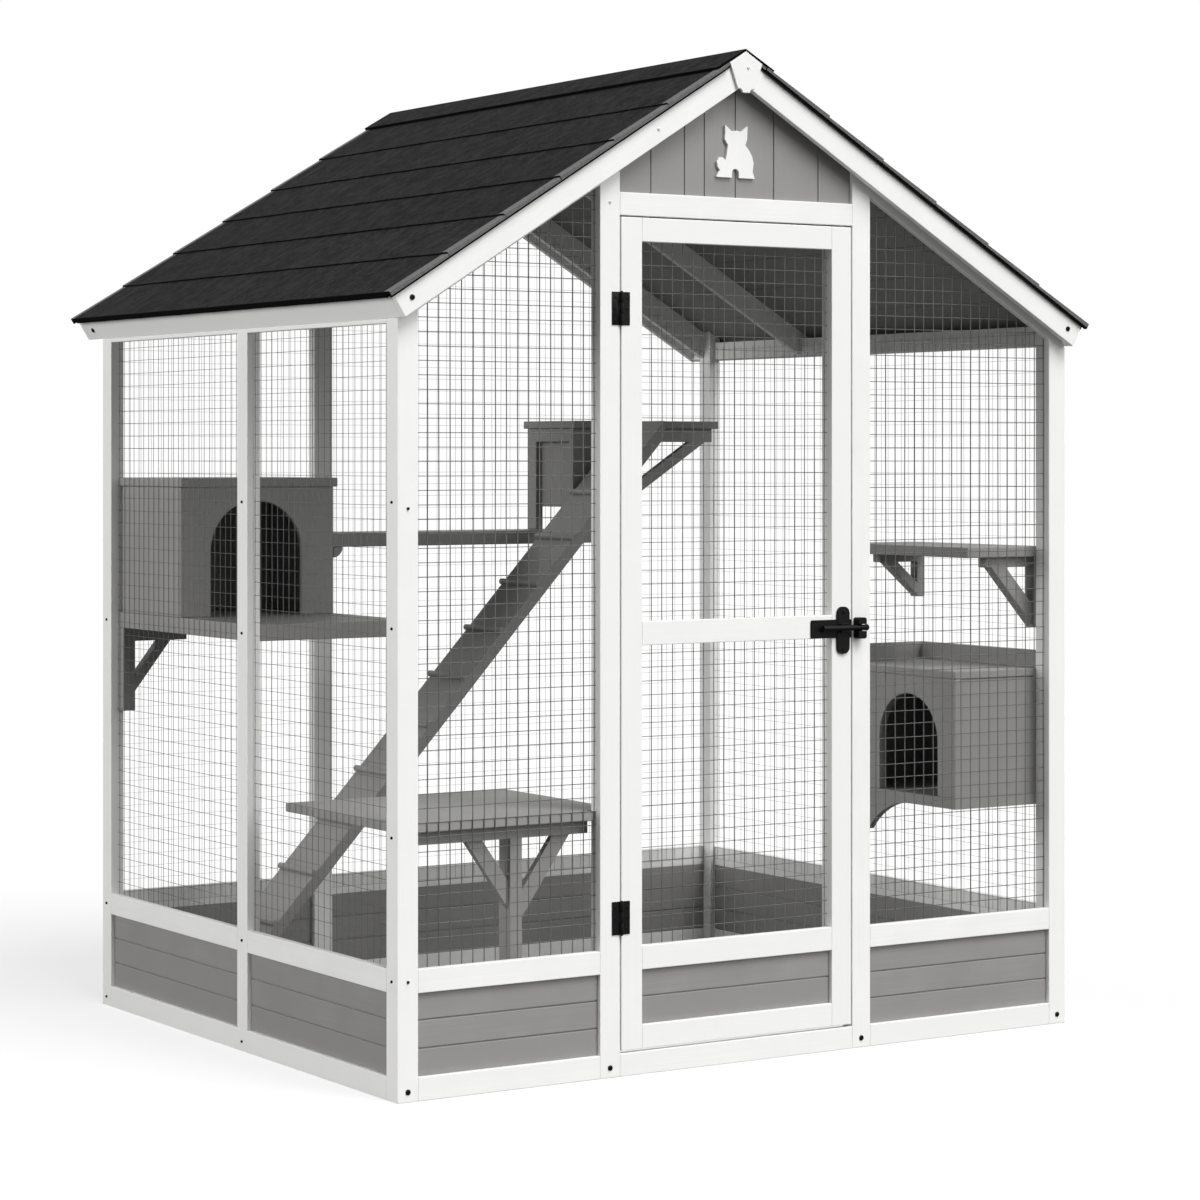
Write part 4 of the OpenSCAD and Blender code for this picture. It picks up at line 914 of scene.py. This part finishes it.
class ENCLOSURE_OT_shingles(bpy.types.Operator):
    """Lays the shingle strips, folds them over the verges and eaves, and caps the ridge"""

    bl_idname = "enclosure.shingles"
    bl_label = "Shingles"

    def execute(self, context):
        self.sizes = sizes = context.scene.enclosure_sizes
        self.dice = random.Random(15)
        for node, side in (("shingles_left", -1), ("shingles_right", 1)):
            roof = RoofSide(side)
            low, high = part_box(node)
            tip = max(abs(low[0] - roof.ridge_x), abs(high[0] - roof.ridge_x))
            top = DECK_T + 2 * sizes.shingle_t
            reach = (tip - top * math.sin(roof.pitch)) / math.cos(roof.pitch)
            self.exposure = (reach - sizes.cap_leg) / sizes.courses
            shape = felt_shape()
            self.base(shape, roof, low[1], high[1])
            for course in range(sizes.courses):
                self.course(shape, roof, course, low[1], high[1])
            for edge, inward in ((low[1], 1), (high[1], -1)):
                for course in range(-1, sizes.courses):
                    self.verge(shape, roof, course, edge, inward)
            self.finish_felt(context, shape, node + "_strips", node)
        low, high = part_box("ridge_cap")
        shape = felt_shape()
        self.cap(shape, low[1] + BEHIND_BLOCK, high[1])
        self.finish_felt(context, shape, "ridge_cap_strip", "ridge_cap")
        return {"FINISHED"}

    def finish_felt(self, context, shape, name, node):
        """Makes the bmesh a piece in felt that stands for a node."""
        bmesh.ops.recalc_face_normals(shape, faces=shape.faces)
        plain(context, name, shape, "frame", "felt", node)

    def base(self, shape, roof, y0, y1):
        """The strip under the ridge cap, with painted shadow where the cap's edge would shade it.
        """
        start = 0.5 * MM
        top = DECK_T + self.sizes.shingle_t
        foot = self.sizes.cap_leg + 6 * MM
        shadow = self.sizes.cap_leg - 2 * MM
        ring = [(start, DECK_T), (start, top), (shadow, top), (foot, top), (foot, DECK_T)]
        inset = FOLD - 1 * MM
        sections = [[(down, y, off) for down, off in ring] for y in (y0 + inset, y1 - inset)]
        # Its top face just below the cap's foot is painted dark as the cap's shadow
        sweep(shape, roof, sections, (2, 3), MID_TONE)

    def course(self, shape, roof, course, y0, y1):
        """One course: wedge-shaped strips whose ragged lower edge laps the course below."""
        joint = 0.7 * MM
        lap = 6 * MM
        step = 45 * MM
        shortest = 100 * MM
        ragged = 1.1
        dip = 0.35
        crumb = 0.1 * MM
        nose_long, nose_high = 1.2 * MM, 0.7 * MM
        t = self.sizes.shingle_t
        last = course == self.sizes.courses - 1
        lip = FELT_LIP if last else DECK_T + t + crumb
        turned_in = (9 if last else 8) * MM
        head = self.sizes.cap_leg + course * self.exposure - (lap if course else -1 * MM)
        foot = self.sizes.cap_leg + (course + 1) * self.exposure
        along, end = y0 + FOLD - 1 * MM, y1 - FOLD + 1 * MM
        width = self.sizes.strip_length * self.dice.uniform(0.3, 0.9)
        while along < end:
            stop = min(along + width, end)
            if end - stop < shortest:
                stop = end
            count = max(2, round((stop - along) / step))
            sections = []
            for k in range(count + 1):
                y = along + (stop - joint - along) * k / count
                edge = foot + self.dice.uniform(-ragged, 0.0 if last else ragged) * MM
                rise = self.dice.uniform(-dip, 0.0) * MM
                back = edge - turned_in
                sections.append([
                    (down, y, off) for down, off in (
                        (head, DECK_T), (head, DECK_T + t - crumb),
                        (edge - nose_long, DECK_T + 2 * t + rise),
                        (edge, DECK_T + 2 * t - nose_high), (edge, lip), (back, lip),
                        (back, DECK_T),
                    )
                ])
            # The butt and underside are painted dark: bare cut felt, and a painted shadow line
            # under each course
            sweep(shape, roof, sections, (3, 4, 5), self.dice.random())
            along = stop
            width = self.sizes.strip_length

    def verge(self, shape, roof, course, edge, inward):
        """The felt of one course folded down over the verge, which shows its upright face."""
        covered = 54 * MM
        # Height of the lip that is painted dark as a shadow line
        dark_lip = 3.5 * MM
        bend = 1.6 * MM
        proud = 0.2 * MM
        inner = 8.6 * MM
        t = self.sizes.shingle_t
        if course < 0:
            behind = BEHIND_BLOCK if inward > 0 else 0
            spans = [(2 * MM, covered, behind), (covered, self.sizes.cap_leg, 0)]
            rise = 0
        else:
            head = self.sizes.cap_leg + course * self.exposure
            spans = [(head, head + self.exposure - self.dice.uniform(0.2, 1.6) * MM, 0)]
            rise = t
        for head, foot, back in spans:
            sections = []
            for down, lift in ((head, 0), (foot, rise)):
                top = DECK_T + t + lift
                sections.append([
                    (down, edge + inward * (back + inset), off) for inset, off in (
                        (bend / 2, FELT_LIP), (0, FELT_LIP + dark_lip), (0, top - bend),
                        (bend, top + proud), (FOLD - back, top + proud),
                        (FOLD - back, DECK_T), (inner, DECK_T), (inner, FELT_LIP),
                    )
                ])
            # The lowest lip is painted dark, as bare cut felt and a painted shadow line above the
            # rake board; the upright face and bend are painted pale, partly worn grit and partly a
            # painted highlight
            sweep(shape, roof, sections, (0,), self.dice.uniform(0, 0.4), (1, 2, 3))

    def cap(self, shape, y0, y1):
        """The ridge cap: one bent strip from the front to the back, standing off the courses."""
        step = 70 * MM
        blunt = 0.5 * MM
        tone = 0.6
        count = round((y1 - y0) / step)
        base = DECK_T + self.sizes.shingle_t
        cut = shape.faces.layers.float["cut"]
        sides = [RoofSide(-1), RoofSide(1)]
        rings = []
        for k in range(count + 1):
            along = y0 + (y1 - y0) * k / count
            feet = [self.sizes.cap_leg - self.dice.uniform(0, 1.5) * MM for _ in sides]
            ring = []
            for off, foot_off, order in (
                (base + 4 * MM, base + 5.6 * MM, (0, 1)),
                (base + 1.2 * MM, base + 0.3 * MM, (1, 0)),
            ):
                bend = sum((s.point(0, along, 0) for s in sides), Vector()) / 2
                bend.z += off / math.cos(sides[0].pitch) - blunt
                ends = [
                    (sides[i].point(feet[i], along, foot_off), (feet[i], along, foot_off))
                    for i in order
                ]
                ring += [ends[0], (bend, (0, along, off)), ends[1]]
            rings.append(felt_ring(shape, ring, tone))
        for k, face in skin(shape, rings):
            # Edges and underside are painted dark: bare cut felt and a painted shadow line below
            # the cap
            face[cut] = 0.0 if k in (0, 1) else 1.0
        for ring in (rings[0], rings[-1]):
            for quad in ((0, 1, 4, 5), (1, 2, 3, 4)):
                shape.faces.new([ring[i] for i in quad])[cut] = 1.0


class ENCLOSURE_OT_roof_deck(bpy.types.Operator):
    """Makes the underside of the roof deck from painted boards"""

    bl_idname = "enclosure.roof_deck"
    bl_label = "Roof deck"

    def execute(self, context):
        board_w = 118 * MM
        groove = 1.6 * MM
        off_ridge = 4 * MM
        arris = 0.9 * MM
        dice = random.Random(16)
        shape = bmesh.new()
        low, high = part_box("roof_decks")
        for side in (-1, 1):
            roof = RoofSide(side)
            count = max(1, round(roof.length / board_w))
            pitch = roof.length / count
            for i in range(count):
                top = i * pitch + (0 if i else off_ridge)
                foot = (i + 1) * pitch - groove
                verts = []
                for down in (top, foot):
                    for along in (low[1], high[1]):
                        for off in (0.0, DECK_T):
                            verts.append(shape.verts.new(roof.point(down, along, off)))
                for face in (
                    (0, 1, 3, 2), (4, 6, 7, 5), (0, 4, 5, 1), (2, 3, 7, 6), (1, 5, 7, 3),
                    (0, 2, 6, 4),
                ):
                    shape.faces.new([verts[k] for k in face])
        bmesh.ops.recalc_face_normals(shape, faces=shape.faces)
        mark_boards(shape, dice)
        piece = rounded("roof_boards", shape, arris, finish_of(context, "grey"))
        place_piece(piece, "frame", ("roof_decks",))
        return {"FINISHED"}


def bolt_head(name):
    """A domed head one metre in radius and height, with a hexagon recess."""
    sides = 20
    recess = 0.42
    dome = ((1.0, 0.0), (1.0, 0.35), (0.93, 0.62), (0.78, 0.84), (0.58, 0.96))
    socket = ((recess, 0.97), (recess, 0.45))
    shape = bmesh.new()
    rings = []
    for radius, height in dome + socket:
        ring = []
        for k in range(sides):
            angle = 2 * math.pi * k / sides
            reach = radius * hexagon(angle) if radius == recess else radius
            ring.append(
                shape.verts.new((reach * math.cos(angle), reach * math.sin(angle), height))
            )
        rings.append(ring)
    skin(shape, rings)
    shape.faces.new(rings[-1])
    shape.faces.new(list(reversed(rings[0])))
    return link(name, to_mesh(shape, name))


def hexagon(angle):
    """Share of the radius that keeps a ring's point on a hexagon."""
    from_middle = angle % (math.pi / 3) - math.pi / 6
    return math.cos(math.pi / 6) / math.cos(from_middle)


class ENCLOSURE_OT_hardware(bpy.types.Operator):
    """Finishes the hinges, the sliding bolt with its keeper, and the bolt heads"""

    bl_idname = "enclosure.hardware"
    bl_label = "Hardware"

    def execute(self, context):
        sizes = context.scene.enclosure_sizes
        dice = random.Random(17)
        for node in STEEL:
            dressed(context, node, "steel", sizes.steel_round, dice)
        self.heads(context)
        self.hinge_screws(context)
        return {"FINISHED"}

    def heads(self, context):
        """Domed heads in place of the plain ones on the frame, painted over in the gable."""
        shape = merged("frame_bolts")
        bare, painted = [], []
        for group in islands(shape):
            points = positions(group)
            centre = points.mean(0)
            axes = main_axes(points)
            out = Vector(axes[2])
            if out.dot(Vector(centre) - Vector((0, 0, centre[2]))) < 0:
                out = -out
            spans = (points - centre) @ axes.T
            radius = (spans[:, 0].max() - spans[:, 0].min()) / 2
            height = spans[:, 2].max() - spans[:, 2].min()
            base = Vector(centre) - out * height / 2
            turn = out.to_track_quat("Z", "Y").to_euler()
            in_gable = base.z > PAINTED_ABOVE and abs(base.x) < PAINTED_WITHIN
            places = painted if in_gable else bare
            places.append((base, tuple(turn), (radius, radius, height), MID_TONE))
        shape.free()
        for name, places, finish, stands_for in (
            ("bolt_heads", bare, "steel", ("frame_bolts",)),
            ("bolt_heads_painted", painted, "white", ()),
        ):
            piece = set_copies(name, bolt_head("head"), places, finish_of(context, finish))
            place_piece(piece, "frame", stands_for)

    def hinge_screws(self, context):
        """Three screws in each hinge leaf."""
        radius, height = 3.2 * MM, 1.0 * MM
        from_edge = 7 * MM
        for node, body in (("hinge_leaves_post", "frame"), ("hinge_leaves_door", "door")):
            places = []
            for low, high in island_boxes(node):
                on_post = node == "hinge_leaves_post"
                across = low.x + from_edge if on_post else high.x - from_edge
                for part in (0.18, 0.5, 0.82):
                    level = low.z + (high.z - low.z) * part
                    point = Vector((across, high.y - LEAF_T, level))
                    turn = (math.pi / 2, 0, 0)
                    places.append((point, turn, (radius, radius, height), MID_TONE))
            piece = set_copies(
                node + "_screws", bolt_head("screw"), places, finish_of(context, "steel")
            )
            place_piece(piece, body)


class ENCLOSURE_OT_figure(bpy.types.Operator):
    """Finishes the cat cut-out on the gable"""

    bl_idname = "enclosure.figure"
    bl_label = "Cat cut-out"

    def execute(self, context):
        shape = merged("gable_figure", joined=False)
        mark_boards(shape, random.Random(18))
        plain(context, "cat_cut_out", shape, "frame", "white", "gable_figure")
        return {"FINISHED"}


class ENCLOSURE_OT_stage(bpy.types.Operator):
    """Sets the floor, the lights and the camera"""

    bl_idname = "enclosure.stage"
    bl_label = "Stage"

    def execute(self, context):
        self.floor()
        self.lights(context)
        self.camera(context)
        context.scene.view_settings.view_transform = "Standard"
        return {"FINISHED"}

    def floor(self):
        """A wide pale floor that keeps a soft shadow and is white to the camera."""
        half = 40
        lit, shown = (0.18, 0.18, 0.18, 1), (0.9, 0.9, 0.9, 1)
        glow = 0.72
        mesh = bpy.data.meshes.new("floor")
        mesh.from_pydata(
            [(-half, -half, 0), (half, -half, 0), (half, half, 0), (-half, half, 0)], [],
            [(0, 1, 2, 3)],
        )
        floor = link("floor", mesh)
        material = new_material("white_floor")
        tree = material.node_tree
        camera_ray = add(tree, "ShaderNodeLightPath").outputs["Is Camera Ray"]
        paint_seen = add(
            tree, "ShaderNodeMix", {"Factor": camera_ray, "A": lit, "B": shown},
            data_type="RGBA",
        ).outputs["Result"]
        pale = add(tree, "ShaderNodeBsdfDiffuse", {"Color": paint_seen})
        bright = add(tree, "ShaderNodeEmission", {"Color": (1, 1, 1, 1), "Strength": 1.0})
        seen = add(tree, "ShaderNodeMath", {0: camera_ray, 1: glow}, operation="MULTIPLY")
        mixed = add(
            tree, "ShaderNodeMixShader",
            {0: seen.outputs["Value"], 1: pale.outputs["BSDF"], 2: bright.outputs["Emission"]},
        )
        add(tree, "ShaderNodeOutputMaterial", {"Surface": mixed.outputs["Shader"]})
        mesh.materials.append(material)

    def lights(self, context):
        """A little sky light and three broad lamps: above, low in front and on the left."""
        breadth = math.radians(35)
        world = bpy.data.worlds.new("studio")
        context.scene.world = world
        world.use_nodes = True
        tree = world.node_tree
        tree.nodes.clear()
        path = add(tree, "ShaderNodeLightPath")
        # Full white for what the camera sees straight, mirrored or through glass
        clear = path.outputs["Is Camera Ray"]
        for ray in ("Is Glossy Ray", "Is Transmission Ray"):
            clear = add(
                tree, "ShaderNodeMath", {0: clear, 1: path.outputs[ray]}, operation="MAXIMUM"
            ).outputs["Value"]
        strength = add(
            tree, "ShaderNodeMapRange", {"Value": clear, "To Min": 0.15, "To Max": 1.0}
        )
        sky = add(
            tree, "ShaderNodeBackground",
            {"Color": (1, 1, 1, 1), "Strength": strength.outputs["Result"]},
        )
        add(tree, "ShaderNodeOutputWorld", {"Surface": sky.outputs["Background"]})
        for name, energy, azimuth, height in LAMPS:
            lamp = bpy.data.lights.new(name, "SUN")
            lamp.energy = energy
            lamp.angle = breadth
            turn, tilt = math.radians(azimuth), math.radians(height)
            source = Vector((
                math.sin(turn) * math.cos(tilt), -math.cos(turn) * math.cos(tilt), math.sin(tilt),
            ))
            piece = link(name, lamp)
            piece.rotation_euler = source.to_track_quat("Z", "Y").to_euler()

    def camera(self, context):
        """The photograph's viewpoint: level, turned to the left front corner."""
        view = bpy.data.cameras.new("camera")
        view.sensor_width = 36
        view.lens = 98.36
        view.shift_y = -0.1208
        view.clip_end = 200
        camera = link("camera", view)
        camera.location = (-3.8882, -6.1712, 1.23735)
        camera.rotation_euler = Euler((math.radians(90), 0, math.radians(-32.75)))
        context.scene.camera = camera


class ENCLOSURE_PT_panel(bpy.types.Panel):
    """The enclosure's steps in the sidebar"""

    bl_label = "Cat enclosure"
    bl_space_type = "VIEW_3D"
    bl_region_type = "UI"
    bl_category = "Enclosure"

    def draw(self, context):
        sizes, look = context.scene.enclosure_sizes, context.scene.enclosure_finishes
        for group in (sizes, look):
            for key in group.__annotations__:
                self.layout.prop(group, key)
        for operator in STEPS:
            self.layout.operator(operator.bl_idname)


STEPS = (
    ENCLOSURE_OT_stage,
    ENCLOSURE_OT_white_timber,
    ENCLOSURE_OT_grey_fittings,
    ENCLOSURE_OT_boarding,
    ENCLOSURE_OT_wire_panels,
    ENCLOSURE_OT_roof_deck,
    ENCLOSURE_OT_shingles,
    ENCLOSURE_OT_hardware,
    ENCLOSURE_OT_figure,
)
CLASSES = (EnclosureSizes, EnclosureFinishes, *STEPS, ENCLOSURE_PT_panel)


def register():
    for item in CLASSES:
        bpy.utils.register_class(item)
    bpy.types.Scene.enclosure_sizes = bpy.props.PointerProperty(type=EnclosureSizes)
    bpy.types.Scene.enclosure_finishes = bpy.props.PointerProperty(type=EnclosureFinishes)


def unregister():
    del bpy.types.Scene.enclosure_finishes
    del bpy.types.Scene.enclosure_sizes
    for item in reversed(CLASSES):
        bpy.utils.unregister_class(item)


def main():
    register()
    for step in STEPS:
        group, name = step.bl_idname.split(".")
        getattr(getattr(bpy.ops, group), name)()


if __name__ == "__main__":
    main()
